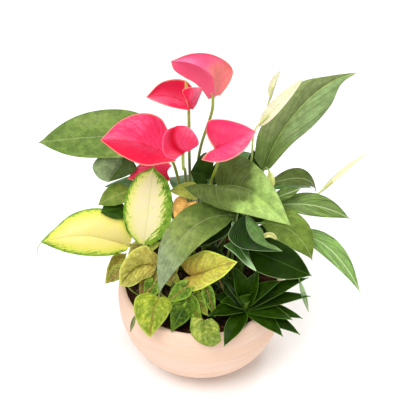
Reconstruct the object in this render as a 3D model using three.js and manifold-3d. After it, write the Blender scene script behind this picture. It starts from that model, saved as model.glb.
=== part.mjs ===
// A round clay bowl planted with an anthurium in flower and its foliage companions.
// Millimetres, +Z up. The origin is the centre of the bowl's foot, on the surface it stands on.
// The viewer of the arrangement stands on the -Y side.
import * as THREE from 'three';
import { mergeVertices } from 'three/addons/utils/BufferGeometryUtils.js';
import Module from 'manifold-3d';

const wasm = await Module();
wasm.setup();

// Bowl and soil
const RIM_HEIGHT = 147;
const RIM_RADIUS = 121;
const BELLY_RADIUS = 125;
const FOOT_RADIUS = 56;
const WALL = 8;
const FLOOR = 10;
const BOWL_SIDES = 28;
const SOIL_LEVEL = 136;
const SOIL_MOUND = 5;
const SEAT_GAP = 0.3;

// Blades, stalks and holes
const BLADE_THICKNESS = 0.8;
const STALK_SIDES = 5;
const ROOT_DEPTH = 16;
const SLEEVE_GAP = 0.4;
const TIP_HALF_WIDTH = 0.6;
const SLIVER = 0.02;

const vector = (p) => new THREE.Vector3(...p);

// Solids

function solidOf(geometry) {
  const bare = geometry.clone();
  bare.deleteAttribute('normal');
  bare.deleteAttribute('uv');
  const merged = mergeVertices(bare, 1e-4);
  return new wasm.Manifold(new wasm.Mesh({
    numProp: 3,
    vertProperties: new Float32Array(merged.attributes.position.array),
    triVerts: new Uint32Array(merged.index.array),
  }));
}

function geometryOf(solid) {
  const mesh = solid.getMesh();
  const geometry = new THREE.BufferGeometry();
  geometry.setAttribute('position', new THREE.BufferAttribute(new Float32Array(mesh.vertProperties), 3));
  geometry.setIndex(new THREE.BufferAttribute(new Uint32Array(mesh.triVerts), 1));
  geometry.computeVertexNormals();
  return geometry;
}

// A round tube along a smooth curve through hand-chosen points
function tube(points, radius, steps, sides = STALK_SIDES) {
  const section = new THREE.Shape();
  for (let k = 0; k < sides; k += 1) {
    const angle = (2 * Math.PI * k) / sides;
    const x = radius * Math.cos(angle);
    const y = radius * Math.sin(angle);
    if (k === 0) section.moveTo(x, y);
    else section.lineTo(x, y);
  }
  section.closePath();
  const path = new THREE.CatmullRomCurve3(points, false, 'centripetal');
  const geometry = new THREE.ExtrudeGeometry(section, { steps, extrudePath: path, bevelEnabled: false });
  return solidOf(geometry);
}

// Half-width outlines from base to tip, as fractions of the greatest half-width
const HEART = [0.52, 0.92, 1, 0.96, 0.85, 0.69, 0.49, 0.26, 0];
const ARROW = [0.40, 0.84, 1, 0.92, 0.77, 0.59, 0.40, 0.20, 0];
const LANCE = [0.07, 0.48, 0.80, 0.97, 1, 0.90, 0.67, 0.33, 0];
const OVAL = [0.12, 0.66, 0.93, 1, 0.97, 0.87, 0.67, 0.36, 0];
const BROAD = [0.30, 0.80, 0.97, 1, 0.95, 0.84, 0.64, 0.34, 0];
const ROUND = [0.30, 0.72, 0.90, 1, 1, 0.93, 0.77, 0.50, 0];
const TAILED = [0.10, 0.60, 0.90, 1, 0.97, 0.80, 0.48, 0.15, 0];
const STRAP = [0.30, 0.74, 0.93, 1, 0.97, 0.84, 0.60, 0.32, 0];

function halfWidth(outline, s) {
  const spans = outline.length - 1;
  const place = Math.min(s * spans, spans - 1e-9);
  const k = Math.floor(place);
  const f = place - k;
  const before = outline[Math.max(k - 1, 0)];
  const here = outline[k];
  const next = outline[k + 1];
  const after = outline[Math.min(k + 2, spans)];
  const slopeHere = (next - before) / 2;
  const slopeNext = (after - here) / 2;
  const f2 = f * f;
  const f3 = f2 * f;
  return (2 * f3 - 3 * f2 + 1) * here + (f3 - 2 * f2 + f) * slopeHere
    + (3 * f2 - 2 * f3) * next + (f3 - f2) * slopeNext;
}

// A blade between drawn curves: its rib and its two edges, which meet at the tip
function drawnSurface({ rib, left, right, bulge = [0.1, 0.1], wave = 0, waves = 2 }) {
  const tip = vector(rib.at(-1));
  const side = vector(right.at(-1)).sub(vector(left.at(-1))).setLength(TIP_HALF_WIDTH);
  const through = (points, end) => (
    new THREE.CatmullRomCurve3([...points.map(vector), end], false, 'centripetal')
  );
  const middle = through(rib.slice(0, -1), tip);
  const leftEdge = through(left, tip.clone().sub(side));
  const rightEdge = through(right, tip.clone().add(side));
  return (s, t) => {
    const point = middle.getPoint(s);
    const [a, b] = [leftEdge.getPoint(s), rightEdge.getPoint(s)];
    const up = b.clone().sub(a).cross(middle.getTangent(s)).normalize();
    const span = (t < 0 ? a : b).sub(point);
    const u = Math.abs(t);
    const phase = t < 0 ? 1.3 : 0;
    const ripple = wave * u * u * Math.sin(2 * Math.PI * waves * s + phase) * Math.sin(Math.PI * s);
    const lift = 4 * u * (1 - u) * span.length() * bulge[t < 0 ? 0 : 1] + ripple;
    return point.addScaledVector(span, u).addScaledVector(up, lift);
  };
}

// A blade's middle surface: s runs from base to tip, t from the left edge (-1) to the right edge (1)
function bladeSurface(blade) {
  if (blade.rib) return drawnSurface(blade);
  const joint = vector(blade.joint);
  const tip = vector(blade.tip);
  const along = tip.clone().sub(joint);
  const length = along.length();
  along.normalize();
  const face = vector(blade.face);
  const normal = face.sub(along.clone().multiplyScalar(face.dot(along))).normalize();
  const side = along.clone().cross(normal);
  const bow = blade.bow ? vector(blade.bow)
    : joint.clone().add(tip).multiplyScalar(0.5).addScaledVector(normal, blade.arch ?? 0);
  const midrib = new THREE.QuadraticBezierCurve3(joint, bow, tip);
  const curl = THREE.MathUtils.degToRad(blade.curl ?? 0);
  const twist = THREE.MathUtils.degToRad(blade.twist ?? 0);
  return (s, t) => {
    const tangent = midrib.getTangent(s);
    const across = side.clone().addScaledVector(tangent, -side.dot(tangent)).normalize();
    across.applyAxisAngle(tangent, twist * s);
    const up = across.clone().cross(tangent);
    const width = Math.max(blade.half * halfWidth(blade.outline, s), TIP_HALF_WIDTH);
    const turn = curl * Math.abs(t);
    const out = curl === 0 ? width * Math.abs(t) : (width * Math.sin(turn)) / curl;
    const cup = curl === 0 ? 0 : (width * (1 - Math.cos(turn))) / curl;
    const phase = t < 0 ? 1.3 : 0;
    const ripple = (blade.wave ?? 0) * t * t * Math.sin(2 * Math.PI * (blade.waves ?? 2) * s + phase);
    const lift = cup + (blade.fold ?? 0) * width * Math.abs(t) + ripple * Math.sin(Math.PI * s);
    const back = (blade.lobe ?? 0) * length * Math.abs(t) ** 1.5 * (1 - s) ** 3;
    return midrib.getPoint(s)
      .addScaledVector(across, Math.sign(t) * out)
      .addScaledVector(up, lift)
      .addScaledVector(tangent, -back);
  };
}

// A thin closed blade, split into triangles alike on both faces
function bladeSolid(blade, thickness = BLADE_THICKNESS) {
  const surface = bladeSurface(blade);
  const { rows = 8, columns = 4 } = blade;
  const across = columns + 1;
  const count = (rows + 1) * across;
  const positions = [];
  const step = 1e-3;
  for (const faceSide of [0.5, -0.5]) {
    for (let i = 0; i <= rows; i += 1) {
      for (let j = 0; j <= columns; j += 1) {
        const s = i / rows;
        const t = (2 * j) / columns - 1;
        const s0 = Math.max(s - step, 0);
        const s1 = Math.min(s + step, 1);
        const t0 = Math.max(t - step, -1);
        const t1 = Math.min(t + step, 1);
        const ds = surface(s1, t).sub(surface(s0, t));
        const dt = surface(s, t1).sub(surface(s, t0));
        const normal = dt.cross(ds).normalize();
        const point = surface(s, t).addScaledVector(normal, faceSide * thickness);
        positions.push(point.x, point.y, point.z);
      }
    }
  }
  const index = [];
  const quad = (a, b, c, d) => index.push(a, b, c, a, c, d);
  for (let i = 0; i < rows; i += 1) {
    for (let j = 0; j < columns; j += 1) {
      const a = i * across + j;
      const b = a + 1;
      const c = b + across;
      const d = a + across;
      if (j < columns / 2) {
        index.push(a, b, c, a, c, d);
        index.push(a + count, c + count, b + count, a + count, d + count, c + count);
      } else {
        index.push(a, b, d, b, c, d);
        index.push(a + count, d + count, b + count, b + count, d + count, c + count);
      }
    }
  }
  for (let i = 0; i < rows; i += 1) {
    const left = i * across;
    const right = left + columns;
    quad(left, left + across, left + across + count, left + count);
    quad(right + across, right, right + count, right + across + count);
  }
  for (let j = 0; j < columns; j += 1) {
    const tipEdge = rows * across + j;
    quad(j + 1, j, j + count, j + 1 + count);
    quad(tipEdge, tipEdge + 1, tipEdge + 1 + count, tipEdge + count);
  }
  const geometry = new THREE.BufferGeometry();
  geometry.setAttribute('position', new THREE.Float32BufferAttribute(positions, 3));
  geometry.setIndex(index);
  return solidOf(geometry);
}

// Stems

const stemSleeves = [];

// A stem from its hole in the soil up to where it carries something
function stem(foot, via, top, radius, steps = 6) {
  const [x, y] = foot;
  const points = [
    new THREE.Vector3(x, y, SOIL_LEVEL - ROOT_DEPTH),
    new THREE.Vector3(x, y, SOIL_LEVEL + 8),
    ...via.map(vector),
    ...top,
  ];
  stemSleeves.push(tube(points, radius + SLEEVE_GAP, steps));
  return tube(points, radius, steps);
}

// Where a stem meets its blade: it comes up from below and ends just above the midrib
function arrival(blade, s, rise, slope) {
  const surface = bladeSurface(blade);
  const end = surface(s, 0);
  const ahead = surface(s + 0.02, 0).sub(surface(s - 0.02, 0)).normalize();
  const right = surface(s, 0.05).sub(surface(s, -0.05)).normalize();
  const up = right.cross(ahead).normalize();
  const lead = end.clone().addScaledVector(ahead, -slope).addScaledVector(up, -rise);
  return [lead, end.addScaledVector(up, BLADE_THICKNESS * 0.9)];
}

const plant = new THREE.Group();

function addNode(name, solid, color, roughness = 0.5) {
  const parts = solid.simplify(SLIVER).decompose();
  const largest = parts.reduce((a, b) => (a.volume() > b.volume() ? a : b));
  const material = new THREE.MeshStandardMaterial({ color, roughness, metalness: 0 });
  const mesh = new THREE.Mesh(geometryOf(largest), material);
  mesh.name = name;
  plant.add(mesh);
}

// Bowl

const outerProfile = [
  [0, 0], [FOOT_RADIUS - 2, 0], [FOOT_RADIUS, 2], [72, 9], [90, 23], [107, 44], [118, 68],
  [123, 90], [BELLY_RADIUS, 112], [124, 130], [RIM_RADIUS, RIM_HEIGHT - 2],
  [RIM_RADIUS - 2, RIM_HEIGHT],
];
const innerProfile = [
  [RIM_RADIUS - WALL + 2, RIM_HEIGHT], [RIM_RADIUS - WALL, RIM_HEIGHT - 2],
  [RIM_RADIUS - WALL + 1, SOIL_LEVEL], [BELLY_RADIUS - WALL, 113],
  [118 - WALL, 76], [90, 44], [52, FLOOR],
];

function lathe(profile, segments = BOWL_SIDES) {
  return new THREE.LatheGeometry(profile.map(([r, z]) => new THREE.Vector2(r, z)), segments)
    .rotateX(Math.PI / 2);
}

addNode('bowl', solidOf(lathe([...outerProfile, ...innerProfile, [0, FLOOR]])), 0xf0d2ba, 0.85);

// Anthurium: flowers

const SPATHE = { outline: HEART, lobe: 0.26, columns: 6, rows: 8 };
const FLOWER_STALK_RADIUS = 1.9;
const SPADIX_LENGTH = 32;
const SPADIX_RADIUS = 3;
const SPADIX_SINK = 1.8;
const STALK_LEAD = [0, 0, -22];
const spathes = [
  { name: 'top', foot: [4, 38], via: [[-4, 46, 330]], spadix: [-0.5, 0.8, 0.2], bulge: [0.2, 0.14],
    rib: [[17, 24, 452], [16, 17, 473], [13, 11, 494], [-2, 8, 511], [-19, 8, 518], [-38, 10, 518]],
    left: [[25, 31, 451], [36, 39, 463], [42, 43, 479], [34, 34, 501], [11, 26, 519], [-14, 18, 524]],
    right: [[10, 29, 446], [2, 26, 462], [-9, 20, 479], [-22, 16, 490], [-35, 12, 504]], color: 0xf4507e },
  { name: 'upper_left', foot: [-10, 34], via: [[-16, 36, 320]], spadix: [-0.12, 0.35, 0.93],
    bulge: [-0.1, -0.1],
    rib: [[-14, -8, 460], [-23, 0, 464], [-38, -2, 472], [-54, -12, 480], [-69, -26, 488]],
    left: [[-16, -16, 460], [-27, -20, 465], [-42, -22, 471], [-57, -24, 479]],
    right: [[-7, 10, 470], [-17, 14, 484], [-31, 10, 491], [-50, 0, 493]], color: 0xf8406e,
    flap: {
      rib: [[-13, -12, 460], [-12, -28, 488], [-10, -22, 500]],
      left: [[-16, -10, 460], [-19, -18, 479], [-24, -12, 488], [-18, -16, 495]],
      right: [[-11, -10, 458], [-4, -12, 472], [2, 0, 483], [-4, -10, 492]],
    } },
  { name: 'left', foot: [-16, 22], via: [[-34, 10, 338]], lead: [8, 10, -14], spadix: [-0.5, 0.8, 0.3],
    bulge: [0.1, 0.1],
    rib: [[-46, -22, 398], [-62, -28, 408], [-80, -34, 422], [-106, -38, 430], [-129, -40, 431]],
    left: [[-42, -4, 417], [-53, 0, 437], [-74, -4, 448], [-103, -18, 447]],
    right: [[-32, -34, 393], [-50, -42, 394], [-72, -50, 397], [-102, -48, 411]], color: 0xf83068 },
  { name: 'centre', foot: [-8, 16], via: [[-20, 14, 300], [-22, 14, 336]], spadix: [-0.2, 0.8, 0.5],
    bulge: [-0.3, -0.2],
    rib: [[-22, -56, 422], [-31, -50, 424], [-36, -46, 432], [-36, -42, 444], [-31, -38, 452]],
    left: [[-12, -60, 430], [-3, -58, 438], [-8, -50, 449], [-18, -42, 454]],
    right: [[-33, -64, 417], [-46, -60, 421], [-50, -52, 434], [-45, -44, 448]], color: 0xf42860 },
  { name: 'right', foot: [8, 22], via: [[10, 12, 250], [14, 4, 325]], spadix: [0.5, 0.8, 0.2],
    bulge: [-0.12, -0.12],
    rib: [[18, -10, 394], [29, -16, 405], [43, -20, 416], [57, -22, 426], [71, -22, 431]],
    left: [[0, -26, 388], [17, -34, 390], [36, -38, 397], [56, -34, 410]],
    right: [[6, 6, 415], [9, 10, 425], [29, 8, 429], [52, -4, 431]], color: 0xf8486f },
  { name: 'low_left', foot: [-24, 34], via: [[-42, 26, 250]], joint: [-47, 18, 333], bow: [-74, 10, 345],
    tip: [-102, 5, 330], face: [0, 0.6, -0.5], half: 20, curl: 25, lobe: 0.14, columns: 4, rows: 6,
    spadix: [-0.5, 0.8, 0.2], color: 0xf0305c },
];

function spadixSolid(root, direction) {
  const profile = [[0, 0], [2.2, 0], [SPADIX_RADIUS, 6], [2.7, 20], [1.5, 29], [0, SPADIX_LENGTH]];
  const turn = new THREE.Quaternion().setFromUnitVectors(new THREE.Vector3(0, 0, 1), direction);
  return solidOf(lathe(profile, 6).applyQuaternion(turn).translate(root.x, root.y, root.z));
}

for (const flower of spathes) {
  const spathe = { ...SPATHE, ...flower };
  const seat = bladeSolid(spathe, BLADE_THICKNESS + 2 * SEAT_GAP);
  const surface = bladeSurface(spathe);
  const base = surface(0.06, 0);
  const ahead = surface(0.1, 0).sub(surface(0.02, 0));
  const inward = surface(0.06, 0.05).sub(surface(0.06, -0.05)).cross(ahead).normalize();
  const top = base.clone().addScaledVector(inward, FLOWER_STALK_RADIUS + BLADE_THICKNESS / 2 + SEAT_GAP);
  const lead = top.clone().add(vector(flower.lead ?? STALK_LEAD));
  const stalk = stem(flower.foot, flower.via, [lead, top], FLOWER_STALK_RADIUS, 7);
  const sleeve = stemSleeves[stemSleeves.length - 1];
  const direction = vector(flower.spadix).normalize();
  const spadixRoot = top.clone().addScaledVector(direction, 1).addScaledVector(inward, -SPADIX_SINK);
  const spadix = spadixSolid(spadixRoot, direction);
  let bloom = bladeSolid(spathe);
  if (flower.flap) bloom = bloom.add(bladeSolid({ ...flower.flap, rows: 4, columns: 2 })).subtract(sleeve);
  addNode(`anthurium_spathe_${flower.name}`, bloom, flower.color, 0.35);
  addNode(`anthurium_stalk_${flower.name}`, stalk.subtract(seat), 0x6f7c25);
  addNode(`anthurium_spadix_${flower.name}`, spadix.subtract(seat).subtract(sleeve), 0xe0c060);
}

// Leaves, each one body with its petiole

const HEART_LEAF = { outline: HEART, lobe: 0.2, curl: 18, rise: 26, slope: 3, petiole: 1.8, rows: 7 };
const LANCE_LEAF = { outline: LANCE, lobe: 0, curl: 22, rise: 3, slope: 20, petiole: 1.8, rows: 7 };
const OVAL_LEAF = { outline: OVAL, lobe: 0, curl: 20, rise: 4, slope: 14, petiole: 2.2, rows: 7 };
const ARROW_LEAF = { outline: ARROW, lobe: 0.26, curl: 15, rise: 12, slope: 6, petiole: 1.3, wave: 2,
  rows: 5 };

const leaves = [
  // Anthurium
  { ...HEART_LEAF, name: 'anthurium_leaf_front', foot: [14, 10], via: [[16, 8, 240]], bulge: [0.16, 0.1],
    rib: [[22, 2, 319], [40, -6, 328], [62, -12, 327], [84, -20, 316], [104, -32, 302], [122, -45, 290]],
    left: [[18, 26, 326], [29, 30, 345], [54, 26, 353], [80, 16, 341], [103, -6, 320]],
    right: [[-23, -16, 332], [-7, -30, 327], [24, -40, 316], [58, -46, 311], [91, -50, 304]],
    color: 0x5c7a34 },
  { ...LANCE_LEAF, name: 'anthurium_leaf_front', fork: [14, 10, 148], via: [[24, 24, 220]], rise: 14,
    slope: 4, joint: [32, 16, 268], tip: [94, 14, 246], face: [0, -0.7, 0.7], half: 15, rows: 5,
    columns: 2, color: 0x5c7a34 },
  { ...HEART_LEAF, name: 'anthurium_leaf_hanging', foot: [24, 22], via: [[40, 10, 240]],
    joint: [48, -20, 286], bow: [-34, -60, 330], tip: [-58, -102, 213], face: [0, -0.6, 0.8], half: 27,
    outline: OVAL, lobe: 0, rise: 8, slope: 10, color: 0x7d955c },
  { ...HEART_LEAF, name: 'anthurium_leaf_left', foot: [-24, 46], via: [[-50, 50, 280]],
    joint: [-72, 50, 372], tip: [-225, 40, 367], face: [0, -0.35, 1], half: 42, arch: 10, outline: OVAL,
    color: 0x86a35a },
  { ...HEART_LEAF, name: 'anthurium_leaf_small', foot: [-30, 24], via: [[-70, 22, 260]], bulge: [0.15, 0.15],
    rib: [[-109, 24, 356], [-114, 16, 346], [-121, 6, 339], [-127, -6, 334]],
    left: [[-96, 18, 357], [-89, 10, 346], [-103, 2, 338]],
    right: [[-122, 20, 362], [-140, 14, 362], [-149, 6, 351], [-141, -2, 338]], color: 0x76875f },
  { ...HEART_LEAF, name: 'anthurium_leaf_under', foot: [18, -6], via: [[22, -10, 210]], rise: 16,
    rib: [[43, -22, 279], [24, -30, 268], [5, -38, 258], [-13, -46, 249]],
    left: [[43, -34, 271], [29, -42, 263], [8, -50, 257]],
    right: [[32, -10, 280], [10, -16, 270], [-7, -34, 256]], color: 0x2e4a1e },
  { ...HEART_LEAF, name: 'anthurium_leaf_inner', foot: [1, 4], via: [[2, 8, 240]],
    joint: [-6, 0, 312], tip: [-44, -10, 322], face: [0, -0.6, 0.8], half: 13, arch: 5,
    lobe: 0.1, columns: 2, color: 0xa0aa48 },
  { ...HEART_LEAF, name: 'anthurium_leaf_inner', fork: [1, 4, 148], via: [[4, 12, 240]], rise: 12,
    rib: [[10, 18, 317], [3, 15, 330], [-7, 12, 336], [-14, 12, 335]],
    left: [[5, 12, 313], [-4, 11, 316], [-10, 11, 323]],
    right: [[17, 28, 346], [7, 30, 358], [-2, 25, 354], [-10, 19, 344]], color: 0x24400f },
  { ...HEART_LEAF, name: 'anthurium_leaves_back', foot: [-10, 60], via: [[-14, 74, 220]],
    joint: [-8, 92, 236], tip: [-36, 176, 198], face: [0, 0.3, 1], half: 34, arch: 14, rows: 6,
    color: 0x56752f },
  { ...HEART_LEAF, name: 'anthurium_leaves_back', fork: [-10, 60, 148], via: [[-40, 76, 200]],
    joint: [-74, 90, 244], tip: [-150, 140, 206], face: [-0.2, 0.3, 1], half: 34, arch: 14, rows: 6,
    columns: 2, color: 0x56752f },
  { ...HEART_LEAF, name: 'anthurium_leaves_back', fork: [-10, 60, 148], via: [[4, 84, 180]],
    joint: [2, 104, 204], tip: [-14, 166, 156], face: [0, 0.6, 0.9], half: 28, arch: 12, rows: 6, columns: 2,
    color: 0x56752f },
  // Peace lily
  { ...LANCE_LEAF, name: 'lily_leaf_tall', foot: [66, 62], via: [[74, 60, 220]], bulge: [0.12, 0.16], rows: 9,
    rib: [[89, 50, 311], [103, 58, 350], [124, 70, 384], [154, 84, 415], [185, 94, 435], [215, 100, 443]],
    left: [[75, 44, 337], [80, 52, 377], [102, 64, 410], [134, 80, 439], [177, 92, 443]],
    right: [[99, 40, 323], [125, 50, 354], [157, 66, 377], [181, 80, 403], [195, 92, 430]], color: 0x849c5e },
  { ...LANCE_LEAF, name: 'lily_leaf_folded', foot: [74, 46], via: [[80, 38, 230]],
    joint: [92, 28, 300], bow: [160, 50, 316], tip: [168, 50, 268], face: [0, -0.2, 0.9], half: 17,
    columns: 2, color: 0x4f6a34 },
  { ...LANCE_LEAF, name: 'lily_leaf_right', foot: [78, 32], via: [[90, 22, 220]],
    joint: [104, 15, 274], bow: [165, 18, 284], tip: [214, 10, 253], face: [0, -0.5, 0.9], half: 18,
    color: 0x7c9c58 },
  { ...LANCE_LEAF, name: 'lily_leaf_right', fork: [78, 32, 148], via: [[92, 24, 240]],
    joint: [100, 20, 282], tip: [140, 12, 308], face: [0, -0.6, 0.8], half: 9, rows: 5, columns: 2,
    color: 0x7c9c58 },
  { ...LANCE_LEAF, name: 'lily_leaf_far_right', foot: [82, 16], via: [[104, 8, 200]],
    joint: [131, 0, 238], bow: [194, -6, 230], tip: [234, -35, 148], face: [0.3, -0.5, 0.8], half: 17,
    color: 0x82a45c },
  { ...LANCE_LEAF, name: 'lily_leaf_olive', foot: [64, 26], via: [[74, 10, 200]],
    joint: [86, -10, 262], bow: [134, -20, 276], tip: [157, -45, 224], face: [0.1, -0.6, 0.8], half: 26,
    outline: OVAL, color: 0x708a3c },
  { ...LANCE_LEAF, name: 'lily_leaf_front', foot: [46, 8], via: [[46, -10, 220]], rise: 14, slope: 6,
    rib: [[61, -36, 302], [63, -46, 285], [72, -58, 274], [90, -66, 268], [110, -75, 269]],
    left: [[73, -34, 288], [84, -44, 280], [89, -54, 270], [100, -64, 269]],
    right: [[45, -50, 300], [37, -62, 285], [50, -72, 274], [75, -76, 271]], color: 0x6f9a58 },
  { ...LANCE_LEAF, name: 'lily_leaf_low', foot: [40, -8], via: [[38, -24, 210]], rise: 12, slope: 6,
    rib: [[48, -46, 263], [54, -60, 259], [63, -74, 253], [75, -90, 246]],
    left: [[63, -50, 265], [65, -60, 257], [69, -74, 250]],
    right: [[31, -60, 265], [46, -72, 261], [61, -84, 252]], rows: 6, color: 0x6f9a58 },
  { ...LANCE_LEAF, name: 'lily_leaf_dark', foot: [58, 4], via: [[58, -20, 200]],
    joint: [62, -40, 243], tip: [153, -80, 227], face: [0, -0.6, 0.8], half: 27, arch: 10, outline: OVAL,
    color: 0x2c4514 },
  { ...LANCE_LEAF, name: 'lily_leaves_back', foot: [48, 76], via: [[52, 92, 220]],
    joint: [58, 106, 264], tip: [88, 192, 230], face: [0, 0.3, 1], half: 26, arch: 18, rows: 6, columns: 2,
    color: 0x5f7f3c },
  { ...LANCE_LEAF, name: 'lily_leaves_back', fork: [48, 76, 148], via: [[74, 90, 200]],
    joint: [98, 96, 236], tip: [176, 146, 198], face: [0.2, 0.3, 1], half: 22, arch: 16, rows: 6, columns: 2,
    color: 0x5f7f3c },
  { ...LANCE_LEAF, name: 'lily_leaves_back', fork: [48, 76, 148], via: [[54, 96, 184]],
    joint: [58, 110, 206], tip: [84, 174, 160], face: [0.1, 0.6, 0.9], half: 18, arch: 12, rows: 6,
    columns: 2, color: 0x5f7f3c },
  // Arrowhead vine
  { ...ARROW_LEAF, name: 'arrowhead_leaf_left', foot: [-72, -38], via: [[-84, -42, 180]],
    joint: [-106, -50, 225], tip: [-134, -78, 210], face: [-0.3, -0.6, 0.8], half: 20, color: 0xb4ae4c },
  { ...ARROW_LEAF, name: 'arrowhead_leaf_olive', foot: [-58, -44], via: [[-58, -48, 200]], bulge: [0.2, 0.2],
    rib: [[-62, -70, 236], [-79, -72, 240], [-96, -82, 236], [-111, -98, 226]],
    left: [[-68, -84, 229], [-81, -92, 231], [-96, -98, 225]],
    right: [[-60, -58, 248], [-76, -58, 263], [-96, -68, 261], [-110, -82, 246]], color: 0xc2bc58 },
  { ...ARROW_LEAF, name: 'arrowhead_leaf_tan', foot: [-64, -60], via: [[-66, -64, 180]],
    joint: [-70, -72, 222], tip: [-86, -96, 196], face: [0, -0.8, 0.6], half: 12, columns: 2,
    color: 0xb49a5c },
  { ...ARROW_LEAF, name: 'arrowhead_leaf_front', foot: [-44, -66], via: [[-46, -78, 175]],
    bulge: [0.14, 0.14],
    rib: [[-57, -95, 201], [-64, -104, 192], [-68, -116, 177], [-71, -128, 155]],
    left: [[-50, -92, 200], [-40, -98, 192], [-47, -110, 179], [-60, -122, 167]],
    right: [[-75, -92, 208], [-90, -94, 200], [-93, -106, 182], [-85, -118, 167]], color: 0x93ad34 },
  { ...ARROW_LEAF, name: 'arrowhead_leaf_upright', foot: [-36, -54], via: [[-38, -62, 180]],
    joint: [-40, -76, 212], tip: [-50, -76, 250], face: [0, -1, 0.2], half: 11, color: 0xc4cc60 },
  { ...ARROW_LEAF, name: 'arrowhead_leaf_low', foot: [-26, -66], via: [[-24, -80, 165]],
    joint: [-22, -96, 190], tip: [-42, -114, 150], face: [0.2, -0.9, 0.5], half: 17, color: 0x5f8220 },
  { ...ARROW_LEAF, name: 'arrowhead_leaf_rim', foot: [-6, -66], via: [[-2, -84, 158]], wave: 0,
    rib: [[6, -104, 164], [7, -116, 159], [15, -128, 155], [28, -135, 155]],
    left: [[15, -104, 168], [24, -112, 164], [26, -126, 161]],
    right: [[-14, -108, 174], [-15, -118, 157], [-4, -130, 147], [14, -135, 144]], color: 0x84a23e },
  { ...ARROW_LEAF, name: 'arrowhead_leaf_golden', foot: [-14, -48], via: [[-16, -54, 190]],
    bulge: [0.14, 0.14],
    rib: [[-14, -70, 217], [2, -73, 226], [24, -78, 243], [49, -86, 259]],
    left: [[-32, -56, 231], [-15, -56, 242], [8, -58, 254], [30, -70, 255]],
    right: [[-31, -82, 213], [-21, -90, 208], [1, -94, 216], [25, -92, 233]], color: 0xd0c860 },
  { ...ARROW_LEAF, name: 'arrowhead_leaf_inner', foot: [-18, -62], via: [[-16, -72, 175]],
    joint: [-33, -76, 193], tip: [7, -88, 216], face: [0, -0.7, 0.7], half: 12, color: 0x8cab3a },
  { ...ARROW_LEAF, name: 'arrowhead_leaf_inner', fork: [-18, -62, 146], via: [[-12, -70, 165]],
    joint: [-9, -84, 192], tip: [10, -98, 166], face: [-0.2, -0.8, 0.5], half: 12, color: 0x8cab3a },
  { ...ARROW_LEAF, name: 'arrowhead_leaf_shade', foot: [4, -38], via: [[4, -42, 180]],
    joint: [8, -44, 228], tip: [44, -62, 222], face: [0, -0.6, 0.8], half: 20, columns: 2,
    color: 0x22380f },
  { ...ARROW_LEAF, name: 'arrowhead_leaf_shade', fork: [4, -38, 148], via: [[7, -45, 180]],
    joint: [26, -62, 218], tip: [8, -74, 174], face: [0.1, -0.8, 0.5], half: 13, rows: 4, columns: 2,
    color: 0x22380f },
  // A lone bronze leaf among the flower stalks
  { ...HEART_LEAF, name: 'bronze_leaf', foot: [-14, -10], via: [[-16, -14, 240]],
    joint: [-18, -16, 306], tip: [-34, -42, 291], face: [-0.2, -0.6, 0.8], half: 18, color: 0xe0ac68,
    petiole: 1.3 },
  // Peace lily bud
  { ...LANCE_LEAF, name: 'lily_bud', foot: [54, 30], via: [[66, 22, 250]],
    joint: [94, 16, 337], tip: [100, 8, 308], face: [0.2, -0.8, 0.3], half: 6, curl: 40, color: 0xc8d870,
    rise: 12, slope: 2, petiole: 1.3, rows: 6, columns: 2 },
];

const leafBodies = new Map();
for (const leaf of leaves) {
  const path = arrival(leaf, 0.05, leaf.rise, leaf.slope);
  const petiole = leaf.fork
    ? tube([leaf.fork, ...leaf.via].map(vector).concat(path), leaf.petiole, 4)
    : stem(leaf.foot, leaf.via, path, leaf.petiole, 4);
  const body = petiole.add(bladeSolid(leaf));
  const { solid } = leafBodies.get(leaf.name) ?? { solid: body };
  leafBodies.set(leaf.name, { solid: solid.add(body), color: leaf.color });
}
for (const [name, { solid, color }] of leafBodies) addNode(name, solid, color);

// Peace lily: flowers, each a pale spathe behind a stalk that ends in the spadix

const lilyFlowers = [
  { name: 'left', foot: [56, 46], via: [[60, 40, 260], [70, 26, 350]], joint: [78, 22, 408],
    tip: [132, 10, 493], face: [-0.6, -0.6, 0.2], half: 10, curl: 50, arch: 5 },
  { name: 'back', foot: [60, 74], via: [[78, 92, 300]], joint: [98, 95, 401],
    tip: [109, 90, 454], face: [-0.8, -0.3, 0.2], half: 9, curl: 75, arch: 3, columns: 2 },
  { name: 'right', foot: [86, 46], via: [[112, 46, 200], [146, 40, 244]], joint: [172, 36, 281],
    tip: [233, 45, 346], face: [-0.5, -0.5, 0.7], half: 6, curl: 80, arch: 4 },
];

for (const flower of lilyFlowers) {
  const spathe = { outline: OVAL, columns: 4, rows: 7, ...flower };
  const surface = bladeSurface(spathe);
  const base = surface(0.04, 0);
  const ahead = surface(0.4, 0).sub(base).normalize();
  const up = ahead.clone().cross(surface(0.1, 0.2).sub(surface(0.1, -0.2))).normalize().negate();
  const start = base.clone().addScaledVector(up, 2.2);
  const path = [start.clone().addScaledVector(ahead, -12), start.clone().addScaledVector(ahead, 22)];
  const spike = stem(flower.foot, flower.via, path, 1.6, 8);
  const sleeve = stemSleeves[stemSleeves.length - 1];
  addNode(`lily_spathe_${flower.name}`, bladeSolid(spathe).subtract(sleeve), 0xf4f2d6, 0.5);
  addNode(`lily_spike_${flower.name}`, spike, 0xb4cc50);
}

// Dieffenbachia: a cane with its leaves held on sheathing petioles

const canePath = [[-64, -4, SOIL_LEVEL - ROOT_DEPTH], [-64, -4, SOIL_LEVEL + 8], [-70, -16, 185],
  [-74, -26, 226]].map(vector);
const CANE_RADIUS = 6;
const cane = tube(canePath, CANE_RADIUS, 6, 10);
const caneSleeve = tube(canePath, CANE_RADIUS + SLEEVE_GAP, 6, 10);
stemSleeves.push(caneSleeve);
addNode('dieffenbachia_cane', cane, 0x7c9a44);

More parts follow.
